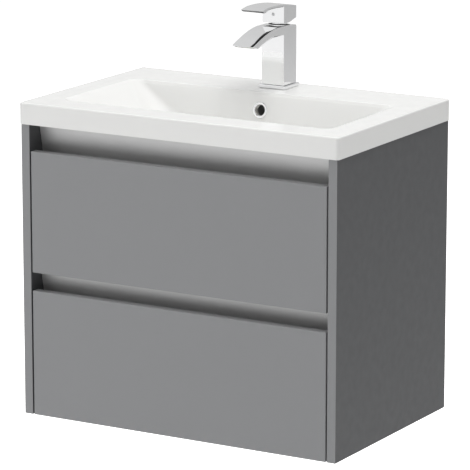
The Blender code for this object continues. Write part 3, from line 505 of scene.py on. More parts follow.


# %% [markdown]
# ## Carcass
# The carcass is two side panels, a bottom and two rear rails. A saw leaves sharp arrises that a maker takes off with
# the edge band, so every board gets a fine rounding instead of a razor edge. The front edge of each board carries the
# fronts' grey, and its other faces a much darker grey that is painted shade.

# %% Carcass
FACES_FRONT = -0.6


def front_grey_else_shade(shape):
    """Gives the faces that look forward the second finish, the fronts' grey; the rest keep the first, a painted shade.
    """
    shape.normal_update()
    for face in shape.faces:
        face.material_index = 1 if face.normal.y < FACES_FRONT else 0
    return shape


for side in ("left", "right"):
    node = f"side_panel_{side}"
    shape = front_grey_else_shade(board(*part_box(node), radius=0.0009))
    finished(shape, f"{node}_board", "cabinet", [shaded_side_grey, lacquer], [node], 30, True)
for node in ("bottom_panel", "rear_rail_top", "rear_rail_bottom"):
    shape = front_grey_else_shade(board(*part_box(node), radius=0.0006))
    finished(shape, f"{node}_board", "cabinet", [shaded_side_grey, lacquer], [node], 30, True)
print("carcass boards made")

# %% [markdown]
# ## Drawer fronts
# The fronts have no handles: fingers reach into the gap above each one. They are plain boards, lacquered on all sides,
# with a slightly softer edge than the carcass because hands touch them.

# %% Drawer fronts
for drawer in ("upper", "lower"):
    node = f"{drawer}_drawer_front"
    shape = board(*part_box(node), radius=0.0012, steps=4)
    finished(shape, f"{node}_board", f"{drawer}_drawer", [lacquer], [node], 30, True)
print("drawer fronts made")

# %% [markdown]
# ## Finger rails
# Each rail is one strip of metal, bent so that a leaning face closes the gap above a drawer front. Its section is
# drawn from the strip's own sizes and carried across the cabinet. Its corners are rounded, as bends in sheet are.

# %% Finger rails
RAIL_SHEET = 0.002
RAIL_LEAN = 0.20
RAIL_FLANGE = 0.025
RAIL_BEND = 0.0007
RAIL_SHORT = 0.0007


def rail_face(front, top, height):
    """The leaning face runs back as it goes down."""
    return front + RAIL_LEAN * (top - height)


low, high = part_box("finger_rail_top")
x = high.x - RAIL_SHORT
lip = low.y
face_front = high.y - RAIL_FLANGE
sheet = RAIL_SHEET
section = [
    (face_front, high.z),
    (rail_face(face_front, high.z, low.z + sheet), low.z + sheet),
    (lip, low.z + sheet),
    (lip, low.z),
    (rail_face(face_front, high.z, low.z) + sheet, low.z),
    (rail_face(face_front, high.z, high.z - sheet) + sheet, high.z - sheet),
    (high.y, high.z - sheet),
    (high.y, high.z),
]
shape = carried(section, "X", -x, x, RAIL_BEND)
finished(shape, "finger_rail_top_strip", "cabinet", [brushed], ["finger_rail_top"], 30, True)

low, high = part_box("finger_rail_middle")
face_back = high.y - sheet
section = [
    (low.y, high.z),
    (low.y, high.z - sheet),
    (face_back - RAIL_LEAN * (high.z - sheet - low.z), high.z - sheet),
    (face_back - RAIL_LEAN * sheet, low.z + sheet),
    (low.y, low.z + sheet),
    (low.y, low.z),
    (high.y, low.z),
    (face_back - RAIL_LEAN * (high.z - low.z) + sheet, high.z),
]
shape = carried(section, "X", -x, x, RAIL_BEND)
finished(shape, "finger_rail_middle_strip", "cabinet", [brushed], ["finger_rail_middle"], 30, True)
print("finger rails bent")

# %% [markdown]
# ## Drawer boxes
# The boxes are thin melamine boards. The upper one wraps round the trap, so its floor is a U. They are eased more
# lightly than the carcass, since melamine is only trimmed and not sanded.

# %% Drawer boxes
BOX_BOARDS = {
    "upper": ("side_left", "side_right", "cheek_front", "cheek_left", "cheek_right", "back_left", "back_right"),
    "lower": ("side_left", "side_right", "bottom", "back"),
}
for drawer, names in BOX_BOARDS.items():
    for name in names:
        node = f"{drawer}_drawer_{name}"
        shape = board(*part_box(node), radius=0.0005, steps=2)
        finished(shape, f"{node}_board", f"{drawer}_drawer", [melamine], [node], 40)

low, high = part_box("upper_drawer_bottom")
cheek_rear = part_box("upper_drawer_cheek_front")[1].y
inner_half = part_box("upper_drawer_cheek_right")[0].x
floor_outline = [
    (low.x, low.y),
    (high.x, low.y),
    (high.x, high.y),
    (inner_half, high.y),
    (inner_half, cheek_rear),
    (-inner_half, cheek_rear),
    (-inner_half, high.y),
    (low.x, high.y),
]
shape = carried(floor_outline, "Z", low.z, high.z, 0.0015)
finished(shape, "upper_drawer_floor", "upper_drawer", [melamine], ["upper_drawer_bottom"], 40)
print("drawer boxes made")

# %% [markdown]
# ## Runners
# Each runner is three nested channels rolled from sheet: one on the panel, one between, one on the drawer. The section
# of a rolled channel is a U with rounded bends. The middle channel's thick flanges stand for its rows of balls.

# %% Runners
RUNNER_SHEET = 0.0012
RUNNER_RACE = 0.0030
RUNNER_BEND = 0.0004


def channel(low, high, outward, flange):
    """A U-section with its web on one side and its mouth on the other."""
    web = high.x if outward > 0 else low.x
    mouth = low.x if outward > 0 else high.x
    inner = web - outward * RUNNER_SHEET
    outline = [
        (web, low.z),
        (mouth, low.z),
        (mouth, low.z + flange),
        (inner, low.z + flange),
        (inner, high.z - flange),
        (mouth, high.z - flange),
        (mouth, high.z),
        (web, high.z),
    ]
    return carried(outline, "Y", low.y, high.y, RUNNER_BEND, 2)


def make_runner(drawer, member, side, body):
    node = f"{drawer}_runner_{member}_{side}"
    low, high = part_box(node)
    to_wall = 1 if side == "right" else -1
    outward = -to_wall if member != "cabinet" else to_wall
    flange = RUNNER_RACE if member == "middle" else RUNNER_SHEET
    shape = channel(low, high, outward, flange)
    finished(shape, f"{node}_channel", body, [drawn_steel], [node], 40)


for drawer in ("upper", "lower"):
    for side in ("left", "right"):
        make_runner(drawer, "cabinet", side, "cabinet")
        make_runner(drawer, "middle", side, f"{drawer}_runner")
        make_runner(drawer, "drawer", side, f"{drawer}_drawer")
print("runners rolled")

# %% [markdown]
# ## Wall brackets
# An angle of pressed steel ties each side panel to the hanging rail, where the weight hangs. The bend has a real
# radius, and the leg against the wall has two screw holes, cut through with turned drills.

# %% Wall brackets
BRACKET_SHEET = 0.0025
BRACKET_BEND = 0.0010
BRACKET_HOLE = 0.0025


def make_bracket(side):
    node = f"wall_bracket_{side}"
    low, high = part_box(node)
    out, inner = (high.x, low.x) if side == "right" else (low.x, high.x)
    step = BRACKET_SHEET if side == "left" else -BRACKET_SHEET
    outline = [
        (out, high.y),
        (out, low.y),
        (out + step, low.y),
        (out + step, high.y - BRACKET_SHEET),
        (inner, high.y - BRACKET_SHEET),
        (inner, high.y),
    ]
    shape = carried(outline, "Z", low.z, high.z, BRACKET_BEND)
    for share in (0.25, 0.75):
        height = low.z + (high.z - low.z) * share
        at = ((out + inner) / 2 + step, high.y, height)
        drill = turned(rod(BRACKET_HOLE, -0.01, 0.01), at, math.pi / 2, 0.0, 24)
        shape = combined(shape, drill)
    finished(shape, f"{node}_angle", "cabinet", [zinc], [node], 40)


for side in ("left", "right"):
    make_bracket(side)
print("brackets pressed")

# %% [markdown]
# ## Basin
# The basin is slip-cast in one piece: a thick-edged deck with a bowl whose ends slope more gently than its long walls,
# and whose corners open out like part of a cone. It could be sculpted from a box with many loop cuts. Here it is a
# stack of level rings, each a rectangle with rounded corners, joined by bridges, because each ring has a clear meaning
# and a size. The rings between the named levels follow a smooth curve.

# %% Sizes of the basin
basin_low, basin_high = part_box("basin")
deck = basin_high.z
panel_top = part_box("side_panel_left")[1].z
foot = panel_top + 0.0003
half_width = basin_high.x
front = basin_low.y
rim_half = half_width - 0.045
rim_front = front + 0.055
rim_back = -0.103
wall_depth = 0.098
floor_half = 0.150
floor_front = rim_front + 0.037
floor_back = rim_back - 0.022
shell = 0.010
skirt = 0.012
waste_low, waste_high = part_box("waste_body")
waste_y = (waste_low.y + waste_high.y) / 2
waste_flange = waste_high.x + 0.0003
seat = waste_high.z - 0.003
under_bowl = seat - shell
CORNER_STEPS = 14
FALL = 0.0002
print("bowl is", round(2 * rim_half, 3), "by", round(rim_back - rim_front, 3), "m at its rim")


# %% Rings of the basin
def mix(start, end, share):
    return start + (end - start) * share


def wall_level(depth, end_share, long_share, corner):
    """A level of the bowl's walls: how far the ends and the long walls have come from the rim to the floor."""
    return (
        mix(rim_front, floor_front, long_share),
        mix(rim_back, floor_back, long_share),
        mix(rim_half, floor_half, end_share),
        corner,
        deck - depth,
    )


def floor_level(depth, end_share, long_share):
    """A level of the floor: how far it has come from the foot of the walls to the waste."""
    return (
        mix(floor_front, waste_y - waste_flange, long_share),
        mix(floor_back, waste_y + waste_flange, long_share),
        mix(floor_half, waste_flange, end_share),
        mix(0.075, waste_flange, long_share) * 0.999,
        deck - wall_depth - depth,
    )


def round_level(radius, height):
    return (waste_y - radius, waste_y + radius, radius, radius * 0.999, height)


def edge_level(inset, height, corner):
    return (front + inset, -inset, half_width - inset, corner, height)


def smooth_levels(levels, count):
    """Levels along a smooth curve through the given ones; the first and the last only set its direction."""
    made = []
    for before, start, end, after in zip(levels, levels[1:], levels[2:], levels[3:]):
        for step in range(count):
            t = step / count
            made.append(
                tuple(
                    0.5 * (2 * b + (c - a) * t + (2 * a - 5 * b + 4 * c - d) * t * t + (3 * b - a - 3 * c + d) * t**3)
                    for a, b, c, d in zip(before, start, end, after)
                )
            )
    return made


inside = [
    (rim_front - 0.006, rim_back + 0.006, rim_half + 0.006, 0.026, deck + FALL),
    wall_level(FALL, 0.0, 0.0, 0.022),
    wall_level(0.0035, 0.05, 0.12, 0.022),
    wall_level(0.0120, 0.14, 0.25, 0.023),
    wall_level(0.0550, 0.57, 0.62, 0.048),
    wall_level(0.0900, 0.92, 0.92, 0.070),
    wall_level(0.1040, 1.10, 1.12, 0.072),
    floor_level(0.0130, 0.20, 0.30),
    floor_level(0.0175, 0.42, 0.62),
    round_level(waste_flange + 0.0012, seat + 0.0030),
    round_level(waste_flange - 0.004, seat + 0.0022),
]
bowl = smooth_levels(inside, 6)
print(len(bowl), "rings in the bowl")


# %% Basin mesh
def ring(shape, level):
    """One level ring; a vertex bevel rounds the rectangle's corners."""
    y_front, y_back, half, corner, height = level
    places = ((half, y_front), (half, y_back), (-half, y_back), (-half, y_front))
    corners = [shape.verts.new((x, y, height)) for x, y in places]
    shape.faces.new(corners)
    eased(shape, corners, corner, CORNER_STEPS)
    face = shape.faces[:][0]
    edges = list(face.edges)
    bmesh.ops.delete(shape, geom=[face], context="FACES_ONLY")
    return edges


ROUNDING = 0.003
ROUNDING_STEPS = 6
levels = [edge_level(0.0004, foot, 0.0056), edge_level(0.0, foot + 0.0004, 0.006)]
for step in range(ROUNDING_STEPS + 1):
    angle = math.pi / 2 * step / ROUNDING_STEPS
    inset = ROUNDING * (1 - math.cos(angle))
    levels.append(edge_level(inset, deck - ROUNDING * (1 - math.sin(angle)), 0.006 - inset * 0.8))
levels += bowl
levels.append(round_level(waste_flange, seat))
levels.append(round_level(0.023, seat - FALL))
levels.append(round_level(0.023, under_bowl))
levels.append(round_level(0.039, under_bowl + FALL))
for level in bowl[-8:24:-6]:
    y_front, y_back, half, corner, height = level
    levels.append((y_front - shell, y_back + shell, half + shell, corner + shell, height - shell * 0.7))
y_front, y_back, half, corner, height = bowl[12]
levels.append((y_front - shell, y_back + shell, half + shell, corner + shell, deck - skirt))
levels.append(edge_level(skirt, deck - skirt + FALL, 0.006))
levels.append(edge_level(skirt, foot + FALL, 0.006))
levels.append(levels[0])

basin = bmesh.new()
rings = [ring(basin, level) for level in levels]
for one, following in zip(rings, rings[1:]):
    bmesh.ops.bridge_loops(basin, edges=one + following)
bmesh.ops.remove_doubles(basin, verts=basin.verts[:], dist=1e-6)
bmesh.ops.recalc_face_normals(basin, faces=basin.faces[:])
print("basin:", len(basin.faces), "faces,", round(basin.calc_volume() * 1000, 2), "litres of ceramic")

# %% [markdown]
# ## Holes in the basin
# Two holes go through the ceramic: one for the tap's shank and one for the overflow. Cutting them after the rings are
# joined leaves the rings simple. The overflow sits square on the leaning back wall, so its drill is tilted to match.

# %% Holes in the basin
plate_low, plate_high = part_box("tap_base_plate")
tap_y = (plate_low.y + plate_high.y) / 2
OVERFLOW_BELOW_DECK = 0.0305
OVERFLOW_FLANGE = 0.014
OVERFLOW_BORE = 0.0095
OVERFLOW_HOLE = 0.012
SHANK_HOLE = 0.0175


def back_wall(depth):
    """The y of the bowl's back wall at a depth, read between the rings."""
    for above, below in zip(bowl, bowl[1:]):
        if deck - above[4] <= depth <= deck - below[4]:
            share = (above[4] - (deck - depth)) / (above[4] - below[4])
            return mix(above[1], below[1], share)
    return rim_back


lean = math.atan2(
    back_wall(OVERFLOW_BELOW_DECK - OVERFLOW_FLANGE) - back_wall(OVERFLOW_BELOW_DECK + OVERFLOW_FLANGE),
    2 * OVERFLOW_FLANGE,
)
overflow_at = (0.0, back_wall(OVERFLOW_BELOW_DECK), deck - OVERFLOW_BELOW_DECK)
overflow_turn = math.pi / 2 - lean
basin = combined(basin, turned(rod(OVERFLOW_HOLE, -0.03, 0.01), overflow_at, overflow_turn, 0.0, 48))
basin = combined(basin, turned(rod(SHANK_HOLE, -0.03, 0.01), (0.0, tap_y, deck), 0.0, 0.0, 48))
finished(basin, "glazed_basin", "cabinet", [glaze], ["basin"], 35, True)
print("overflow leans", round(math.degrees(lean), 1), "degrees")

# %% [markdown]
# ## Overflow ring
# A pressed chrome ring hides the raw edge of the overflow. Its face is slightly domed and runs in to the bore with a
# rolled lip. It is one outline turned once.

# %% Overflow ring
sleeve = 0.0117
outline = [
    (0.0095, 0.0010),
    (0.0105, 0.0019),
    (0.0122, 0.0021),
    (0.0133, 0.0016),
    (OVERFLOW_FLANGE, 0.0005),
    (sleeve, 0.0005),
    (sleeve, -0.009),
    (0.0095, -0.009),
]
shape = turned(outline, (0.0, 0.0, 0.0), 0.0, 0.00015, 72)
shape.normal_update()
for face in shape.faces:
    middle = face.calc_center_median()
    face.material_index = 1 if middle.xy.length < OVERFLOW_BORE + 0.0002 and middle.z < 0.0008 else 0
placed(shape, overflow_at, overflow_turn)
finished(shape, "overflow_trim", "cabinet", [chrome, plated_bore], ["overflow_ring"], 50)
print("overflow ring turned")

# %% [markdown]
# ## Waste
# The waste is a brass body with a wide flange, a bar that guides the plug's stem, and a domed plug. Under the
# bowl a rubber seal and a back nut hold it. The dome is an arc in the outline.

# %% Waste
seat_at = (0.0, waste_y, seat)
FLANGE_RISE = 0.003
flange = waste_high.x
bore = 0.0160
thread = 0.0209
body_low = waste_low.z - seat
outline = [
    (bore, FLANGE_RISE - 0.0008),
    (bore + 0.001, FLANGE_RISE),
    (flange - 0.003, FLANGE_RISE),
    (flange, 0.0008),
    (flange, 0.0003),
    (thread, 0.0003),
    (thread, body_low),
    (bore, body_low),
]
shape = turned(outline, seat_at, 0.0, 0.0003, 72)
polished(shape, "waste_fitting", "waste_body", 40)

plug_low, plug_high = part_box("waste_plug")
plug_radius = plug_high.x
plug_base = FLANGE_RISE + 0.0003
dome = plug_high.z - seat - plug_base
stem = 0.004
outline = [(0.0, plug_low.z - seat), (stem, plug_low.z - seat), (stem, plug_base), (plug_radius - 0.001, plug_base)]
DOME_STEPS = 10
for step in range(DOME_STEPS + 1):
    angle = math.pi / 2 * step / DOME_STEPS
    outline.append((plug_radius * math.cos(angle), plug_base + 0.0008 + (dome - 0.0008) * math.sin(angle)))
outline[-1] = (0.0, plug_base + dome)
shape = turned(outline, seat_at, 0.0, 0.0, 72)
finished(shape, "waste_plug_dome", "waste_plug", [chrome], ["waste_plug"], 35)

for node, finish, slot, name in (
    ("waste_seal", rubber, "seal_rubber", "waste_rubber_seal"),
    ("waste_back_nut", chrome, "chrome", "waste_lock_nut"),
):
    shape = ring_of(node, thread + 0.0003, seat_at, 0.0008)
    finished(shape, name, "cabinet", [finish], [node], 40)
low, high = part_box("waste_guide")
shape = board(low, high, 0.0006, 2)
shape = combined(shape, turned(rod(stem + 0.0003, -0.04, 0.0), seat_at, 0.0, 0.0, 32))
polished(shape, "waste_guide_bar", "waste_guide", 40)
print("waste made")

# %% [markdown]
# ## Trap
# The bottle trap is moulded in a few screwed parts. Its nuts have grip ribs, made by pushing every other face of the
# rim outwards, and the cup has a chamfered foot. The pipe runs straight back to the wall.

# %% Trap
PIPE_RADIUS = 0.0160
PIPE_BORE = 0.0142
DIP_TUBE_WALL = 0.0018
trap_low, trap_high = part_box("trap_body")
neck_top = trap_high.z
trap_at = (0.0, waste_y, neck_top)
trap_radius = trap_high.x
inside_radius = trap_radius - 0.0025
skirt_low = trap_low.z - neck_top
outlet_at = (0.0, waste_y, neck_top - 0.0235)
outline = [
    (bore, 0.0),
    (0.020, 0.0),
    (0.020, -0.009),
    (trap_radius, -0.014),
    (trap_radius, skirt_low),
    (inside_radius, skirt_low),
    (inside_radius, -0.015),
    (bore, -0.012),
]
shape = turned(outline, trap_at, 0.0, 0.001)
spigot = turned(rod(PIPE_RADIUS - 0.001, inside_radius + 0.0005, 0.046), outlet_at, -math.pi / 2, 0.0, 48)
shape = combined(shape, spigot, "UNION")
drill = turned(rod(PIPE_BORE - 0.001, inside_radius * 0.6, 0.06), outlet_at, -math.pi / 2, 0.0, 48)
shape = combined(shape, drill)
plastic(shape, "trap_bottle", "trap_body", 40)

shape = ring_of("trap_dip_tube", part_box("trap_dip_tube")[1].x - DIP_TUBE_WALL, trap_at, 0.0004)
plastic(shape, "trap_dip_pipe", "trap_dip_tube", 40)

low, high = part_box("trap_cup")
collar_radius = high.x
cup_low = low.z - neck_top
outline = [
    (0.0, cup_low),
    (inside_radius - 0.006, cup_low),
    (inside_radius, cup_low + 0.008),
    (inside_radius, skirt_low - 0.008),
    (collar_radius, skirt_low - 0.004),
    (collar_radius, skirt_low + 0.005),
    (trap_radius + 0.0003, skirt_low + 0.005),
    (trap_radius + 0.0003, skirt_low - 0.0003),
    (inside_radius - 0.0025, skirt_low - 0.0003),
    (inside_radius - 0.0025, cup_low + 0.008),
    (0.0, cup_low + 0.004),
]
shape = turned(outline, trap_at, 0.0, 0.0010)
plastic(shape, "trap_bottle_cup", "trap_cup", 40)

low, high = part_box("waste_pipe")
length = high.y - waste_y
shape = turned(tube(PIPE_BORE, PIPE_RADIUS, low.y - waste_y, length), outlet_at, -math.pi / 2, 0.0003)
plastic(shape, "waste_outlet_pipe", "waste_pipe", 40)


# %% Trap nuts
RIB_COUNT = 24
RIB_RISE = 0.0007


def ribbed_nut(inner, outer, low, high, at, turn):
    """A ring whose rim has grip ribs: every other face of the rim is pushed out a little."""
    shape = turned(tube(inner, outer - RIB_RISE, low, high), (0.0, 0.0, 0.0), 0.0, 0.0, RIB_COUNT * 2)
    rim = [face for face in shape.faces if face.calc_center_median().xy.length > (inner + outer) / 2]
    rim = [face for face in rim if abs(face.normal.z) < 0.5]
    rim.sort(key=lambda face: math.atan2(face.calc_center_median().y, face.calc_center_median().x))
    ribs = rim[::2]
    bmesh.ops.inset_individual(shape, faces=ribs, thickness=0.0004, depth=RIB_RISE)
    return placed(shape, at, turn)


low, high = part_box("trap_inlet_nut")
shape = ribbed_nut(thread + 0.0003, high.x, low.z - neck_top, high.z - neck_top, trap_at, 0.0)
plastic(shape, "trap_inlet_collar", "trap_inlet_nut")
low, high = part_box("trap_outlet_nut")
shape = ribbed_nut(PIPE_RADIUS + 0.0003, high.x, low.y - waste_y, high.y - waste_y, outlet_at, -math.pi / 2)
plastic(shape, "trap_outlet_collar", "trap_outlet_nut")
print("trap moulded")

# %% [markdown]
# ## Tap body
# The tap is one brass casting: a square column that runs into a flat curved spout. Its side view is the whole design,
# so the outline is drawn from the side and carried across. The spout's top edges are rounded more than the column's,
# and mirror the lever's near-black underside, which is painted shade. The collar's recess and the water passage are
# cut afterwards; the spout's underside and the recess walls get the same painted shade.

# %% Tap body
COLUMN = 0.0434
REAR_HEIGHT = 0.106
TOP_HEIGHT = 0.109
REACH = 0.124
DROP = 0.0215
CURVE_START = 0.040
UNDER_HEIGHT = 0.094
UNDER_START = 0.055
UNDER_REACH = 0.109
UNDER_DROP = 0.012
WALL = 0.0030
SKIN = 0.0022
SPOUT_EDGE = 0.0024
COLUMN_EDGE = 0.0011
UNDER_EDGE = 0.0020
INSERT_GAP = 0.0005
column_half = COLUMN / 2


def spout_top(forward):
    run = max(0.0, forward - CURVE_START) / (REACH - CURVE_START)
    return TOP_HEIGHT - DROP * run**1.6


def spout_under(forward):
    run = max(0.0, forward - UNDER_START) / (UNDER_REACH - UNDER_START)
    return UNDER_HEIGHT - UNDER_DROP * run**1.6


def spread(start, end, count):
    return [mix(start, end, i / count) for i in range(count + 1)]


def seen_from_side(pairs):
    """Pairs of (forward of the tap's axis, height above the deck) as (y, z)."""
    return [(tap_y - forward, deck + height) for forward, height in pairs]


def paint_shade_below(shape, limit, ahead):
    """Gives the faces that look down, behind a given reach, the second finish: the near-black painted shade."""
    shape.normal_update()
    for face in shape.faces:
        middle = face.calc_center_median()
        looks_down = face.normal.z < limit and tap_y - middle.y < ahead
        face.material_index = 1 if looks_down and middle.z > deck + 0.02 else 0


def in_painted_shade(shape):
    """Gives every face of a cutter the second finish, the near-black painted shade, so that what it cuts has it too.
    """
    for face in shape.faces:
        face.material_index = 1
    return shape


def side_edges(shape, half, wanted):
    """The edges round the two side faces whose (forward, height) ends all pass a test."""
    found = []
    for edge in shape.edges:
        one, other = (v.co.x for v in edge.verts)
        ends = [(tap_y - v.co.y, v.co.z - deck) for v in edge.verts]
        if abs(abs(one) - half) < 1e-6 and abs(one - other) < 1e-6 and all(wanted(*end) for end in ends):
            found.append(edge)
    return found


def along(edges):
    """Leaves out the edges that run straight up."""
    return [edge for edge in edges if abs(edge.verts[0].co.y - edge.verts[1].co.y) > 1e-6]


def soften_sharp(shape, radius):
    """Rounds what is still a sharp edge, then turns every face outwards."""
    shape.normal_update()
    sharp = [e for e in shape.edges if len(e.link_faces) == 2 and e.calc_face_angle() > math.radians(50)]
    rounded_edges(shape, sharp, radius, 3)
    bmesh.ops.recalc_face_normals(shape, faces=shape.faces[:])


def on_spout_under(forward, height):
    return UNDER_START - 0.04 < forward < UNDER_REACH + 0.001 and abs(height - spout_under(forward)) < 0.0008


pairs = [(-column_half, 0.0063), (column_half, 0.0063), (column_half, UNDER_HEIGHT)]
pairs += [(f, spout_under(f)) for f in spread(UNDER_START, UNDER_REACH, 14)]
pairs += [(f, spout_top(f)) for f in spread(REACH, CURVE_START, 20)]
pairs += [(column_half / 2, TOP_HEIGHT), (-column_half, REAR_HEIGHT)]
shape = carried(seen_from_side(pairs), "X", -column_half, column_half)
top_edges = side_edges(shape, column_half, lambda f, h: h > spout_top(f) - 0.0045)
rounded_edges(shape, along(top_edges), SPOUT_EDGE, 5)
rounded_edges(shape, side_edges(shape, column_half, on_spout_under), UNDER_EDGE, 4)
soften_sharp(shape, COLUMN_EDGE)
# The spout's downward faces get the near-black painted shade.
paint_shade_below(shape, -0.2, UNDER_REACH - 0.001)

axis = (0.0, tap_y, deck)
RECESS = 0.0185
RECESS_DEPTH = 0.0035
# The recess walls round the collar get the near-black painted shade.
recess = in_painted_shade(turned(rod(RECESS, TOP_HEIGHT - RECESS_DEPTH, TOP_HEIGHT + 0.02), axis, 0.0, 0.0, 72))
shape = combined(shape, recess)
foot_height = UNDER_HEIGHT + SKIN
passage = [(0.0, foot_height)]
passage += [(f, spout_under(f) + SKIN) for f in spread(UNDER_START, REACH, 12)]
passage += [(f, spout_top(f) - SKIN) for f in spread(REACH, CURVE_START, 12)]
passage += [(0.0, foot_height + 0.004)]
wide = column_half - WALL
shape = combined(shape, carried(seen_from_side(passage), "X", -wide, wide))
shape = combined(shape, turned(rod(0.0125, 0.0, 0.098), axis, 0.0, 0.0, 48))
finished(shape, "tap_casting", "cabinet", [chrome, painted_shade_chrome], ["tap_body"], 30, True)
print("tap body cast")

# %% [markdown]
# ## Spout insert and tap fixings
# A plastic insert with a row of slots straightens the water in the mouth of the spout. Round the column's foot lies a
# square plate, and below the deck a shank, a rubber washer and a nut clamp the tap to the ceramic.

# %% Spout insert and tap fixings
SLOTS = 7
RIB = 0.0014
SLOT_HEIGHT = 0.0018
INSERT_DEPTH = 0.006
END_SLOPE = (spout_top(REACH) - spout_under(UNDER_REACH)) / (REACH - UNDER_REACH)


def meets_end(curve, above):
    """How far forward a line just above a curve of the spout reaches its sloping end."""
    near, far = 0.0, 2 * REACH
    for _ in range(50):
        middle = (near + far) / 2
        on_end = spout_under(UNDER_REACH) + END_SLOPE * (middle - UNDER_REACH)
        if curve(middle) + above > on_end:
            near = middle
        else:
            far = middle
    return middle, on_end


low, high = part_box("spout_insert")
foot = meets_end(spout_under, SKIN + INSERT_GAP)
head = meets_end(spout_top, -SKIN - INSERT_GAP)
pairs = [
    (foot[0] - INSERT_DEPTH, spout_under(foot[0] - INSERT_DEPTH) + SKIN + INSERT_GAP),
    foot,
    head,
    (head[0] - INSERT_DEPTH, spout_top(head[0] - INSERT_DEPTH) - SKIN - INSERT_GAP),
]
shape = carried(seen_from_side(pairs), "X", low.x, high.x)
bmesh.ops.recalc_face_normals(shape, faces=shape.faces[:])
pitch = (high.x - low.x) / SLOTS
middle = deck + (foot[1] + head[1]) / 2
for i in range(SLOTS):
    left = low.x + i * pitch + RIB / 2
    slot_low = (left, low.y - 0.01, middle - SLOT_HEIGHT / 2)
    slot_high = (left + pitch - RIB, high.y + 0.01, middle + SLOT_HEIGHT / 2)
    shape = combined(shape, board(slot_low, slot_high, 0.0006, 3))
plastic(shape, "spout_straightener", "spout_insert", 30)

shape = board(plate_low, plate_high, 0.0009, 3)
shape = combined(shape, turned(rod(0.0158, -0.01, 0.02), axis, 0.0, 0.0, 64))
polished(shape, "tap_foot_plate", "tap_base_plate", 30, True)

for node, inner, finish, slot, name in (
    ("tap_shank", 0.0125, zinc, "bracket_steel", "tap_threaded_shank"),
    ("tap_washer", 0.0158, rubber, "seal_rubber", "tap_rubber_washer"),
    ("tap_nut", 0.0158, zinc, "bracket_steel", "tap_clamp_nut"),
):
    shape = ring_of(node, inner, axis, 0.0005)
    finished(shape, name, "cabinet", [finish], [node], 40)

low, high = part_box("tap_collar")
collar = high.x
collar_low = low.z - deck
collar_top = high.z - deck
outline = [
    (0.0, collar_low),
    (collar, collar_low),
    (collar, collar_top - 0.0040),
    (collar - 0.0008, collar_top - 0.0028),
    (collar - 0.0030, collar_top),
    (0.0, collar_top),
]
shape = turned(outline, axis, 0.0, 0.0004, 72)
polished(shape, "tap_cartridge_collar", "tap_collar", 40)
low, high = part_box("cartridge_stem")
middle = (low.z + high.z) / 2
shape = turned(rod(0.0045, low.z - deck, high.z - deck), axis, 0.0, 0.0004, 32)
pin = board((low.x, tap_y - 0.0012, middle - 0.0012), (high.x, tap_y + 0.0012, middle + 0.0012), 0.0003, 2)
shape = combined(shape, pin, "UNION")
finished(shape, "tap_cartridge_stem", "tap_swivel", [zinc], ["cartridge_stem"], 40)
print("tap fixings made")

# %% [markdown]
# ## Lever
# The lever is a square block with a flat blade that arches forward over the spout. It too is drawn from the side. A
# round cavity in its base lets it rock on the cartridge, and a small enamel mark sits in its front face.

# %% Lever
LEVER_WIDTH = 0.042
LEVER_REAR = 0.0222
BLOCK_FRONT = 0.0205
LEVER_REACH = 0.0935
CREST = 0.060
CREST_HEIGHT = 0.1477
BEND = 1.28
BLADE = 0.0045
UNDERSIDE = 0.113
BLADE_EDGE = 0.0014
LEVER_EDGE = 0.0009
LEVER_CAVITY = 0.018
MARK_HEIGHT = 0.1275
MARK_HOLE = 0.0028
MARK_RADIUS = 0.0027


def lever_top(forward):
    return CREST_HEIGHT - BEND * (forward - CREST) ** 2


def on_blade_under(forward, height):
    return forward > BLOCK_FRONT + 0.001 and height < lever_top(forward) - BLADE + 0.0005


nose = LEVER_REACH - 0.010
lever_half = LEVER_WIDTH / 2
pairs = [(-LEVER_REAR, UNDERSIDE + 0.0054), (0.001, UNDERSIDE), (BLOCK_FRONT, UNDERSIDE)]
pairs += [(BLOCK_FRONT, lever_top(BLOCK_FRONT) - BLADE + 0.001)]
pairs += [(f, lever_top(f) - BLADE) for f in spread(0.026, 0.072, 8)]
pairs += [(nose, lever_top(nose) - BLADE - 0.0025), (LEVER_REACH - 0.007, CREST_HEIGHT - 0.008)]
pairs += [(LEVER_REACH, CREST_HEIGHT - 0.0042), (nose, lever_top(nose) - 0.0008)]
pairs += [(f, lever_top(f)) for f in spread(0.076, -LEVER_REAR, 16)]
shape = carried(seen_from_side(pairs), "X", -lever_half, lever_half)
top_edges = side_edges(shape, lever_half, lambda f, h: h > lever_top(f) - 0.0015)
rounded_edges(shape, along(top_edges), BLADE_EDGE, 4)
rounded_edges(shape, side_edges(shape, lever_half, on_blade_under), BLADE_EDGE, 3)
soften_sharp(shape, LEVER_EDGE)
# The lever's downward faces and its cavity get the near-black painted shade.
paint_shade_below(shape, -0.2, LEVER_REACH)
shape = combined(shape, in_painted_shade(turned(rod(LEVER_CAVITY, 0.10, 0.130), axis, 0.0, 0.0, 64)))
mark_at = (0.0, tap_y - BLOCK_FRONT, deck + MARK_HEIGHT)
shape = combined(shape, turned(rod(MARK_HOLE, -0.0012, 0.005), mark_at, math.pi / 2, 0.0, 32))
finished(shape, "tap_lever_handle", "tap_lever", [chrome, painted_shade_chrome], ["tap_lever"], 30, True)
shape = turned(rod(MARK_RADIUS, -0.0009, 0.0002), mark_at, math.pi / 2, 0.0002, 32)
finished(shape, "lever_enamel_mark", "tap_lever", [enamel], ["lever_mark"], 40)
print("lever made")

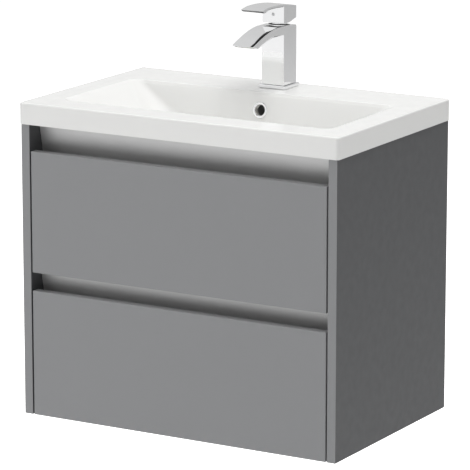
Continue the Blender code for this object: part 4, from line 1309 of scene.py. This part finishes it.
# %% [markdown]
# ## Floor
# The unit hangs on a wall, so the floor is a stage a little way below it. It is pale and matt, and wide enough that no
# edge of it shows. Reflections see it glow much as the room does, so metal shows no line where the two meet, and the
# camera sees it evenly pale. It is clear from beneath, so that the unit's underside can be looked at. The floor is not
# part of the object.

# %% Floor
FLOOR_BELOW = 0.32
FLOOR_REACH = 40.0
FLOOR_GLOW = 0.75
FLOOR_LIT = 0.36
floor_finish, shader = start_finish("pale_floor", (0.93, 0.93, 0.93), 0.9)
vary_colour(floor_finish, shader, grain(floor_finish, 0.7), (0.925, 0.925, 0.925), (0.935, 0.935, 0.935))
tree = floor_finish.node_tree
spot = tree.nodes.new("ShaderNodeTexCoord")
glow = toward_bright_side(tree, spot.outputs["Object"])
dimmed = tree.nodes.new("ShaderNodeMath")
dimmed.operation = "SUBTRACT"
dimmed.inputs[1].default_value = FLOOR_LIT
tree.links.new(glow, dimmed.inputs[0])
glow = by_ray(tree, "Is Diffuse Ray", dimmed.outputs["Value"], 0.0)
glow = by_ray(tree, "Is Camera Ray", glow, FLOOR_GLOW)
tree.links.new(glow, shader.inputs["Emission Strength"])
shader.inputs["Emission Color"].default_value = (1.0, 1.0, 1.0, 1.0)
facing = tree.nodes.new("ShaderNodeNewGeometry")
clear = tree.nodes.new("ShaderNodeBsdfTransparent")
one_sided = tree.nodes.new("ShaderNodeMixShader")
tree.links.new(facing.outputs["Backfacing"], one_sided.inputs["Fac"])
tree.links.new(shader.outputs["BSDF"], one_sided.inputs[1])
tree.links.new(clear.outputs["BSDF"], one_sided.inputs[2])
tree.links.new(one_sided.outputs["Shader"], tree.nodes["Material Output"].inputs["Surface"])
shape = bmesh.new()
bmesh.ops.create_grid(shape, x_segments=1, y_segments=1, size=FLOOR_REACH)
bmesh.ops.translate(shape, vec=(0.0, 0.0, cad_size[0].z - FLOOR_BELOW), verts=shape.verts[:])
mesh = bpy.data.meshes.new("studio_floor")
shape.to_mesh(mesh)
shape.free()
mesh.materials.append(floor_finish)
studio_floor = bpy.data.objects.new("studio_floor", mesh)
bpy.context.scene.collection.objects.link(studio_floor)
print("floor laid at", round(cad_size[0].z - FLOOR_BELOW, 2), "m")
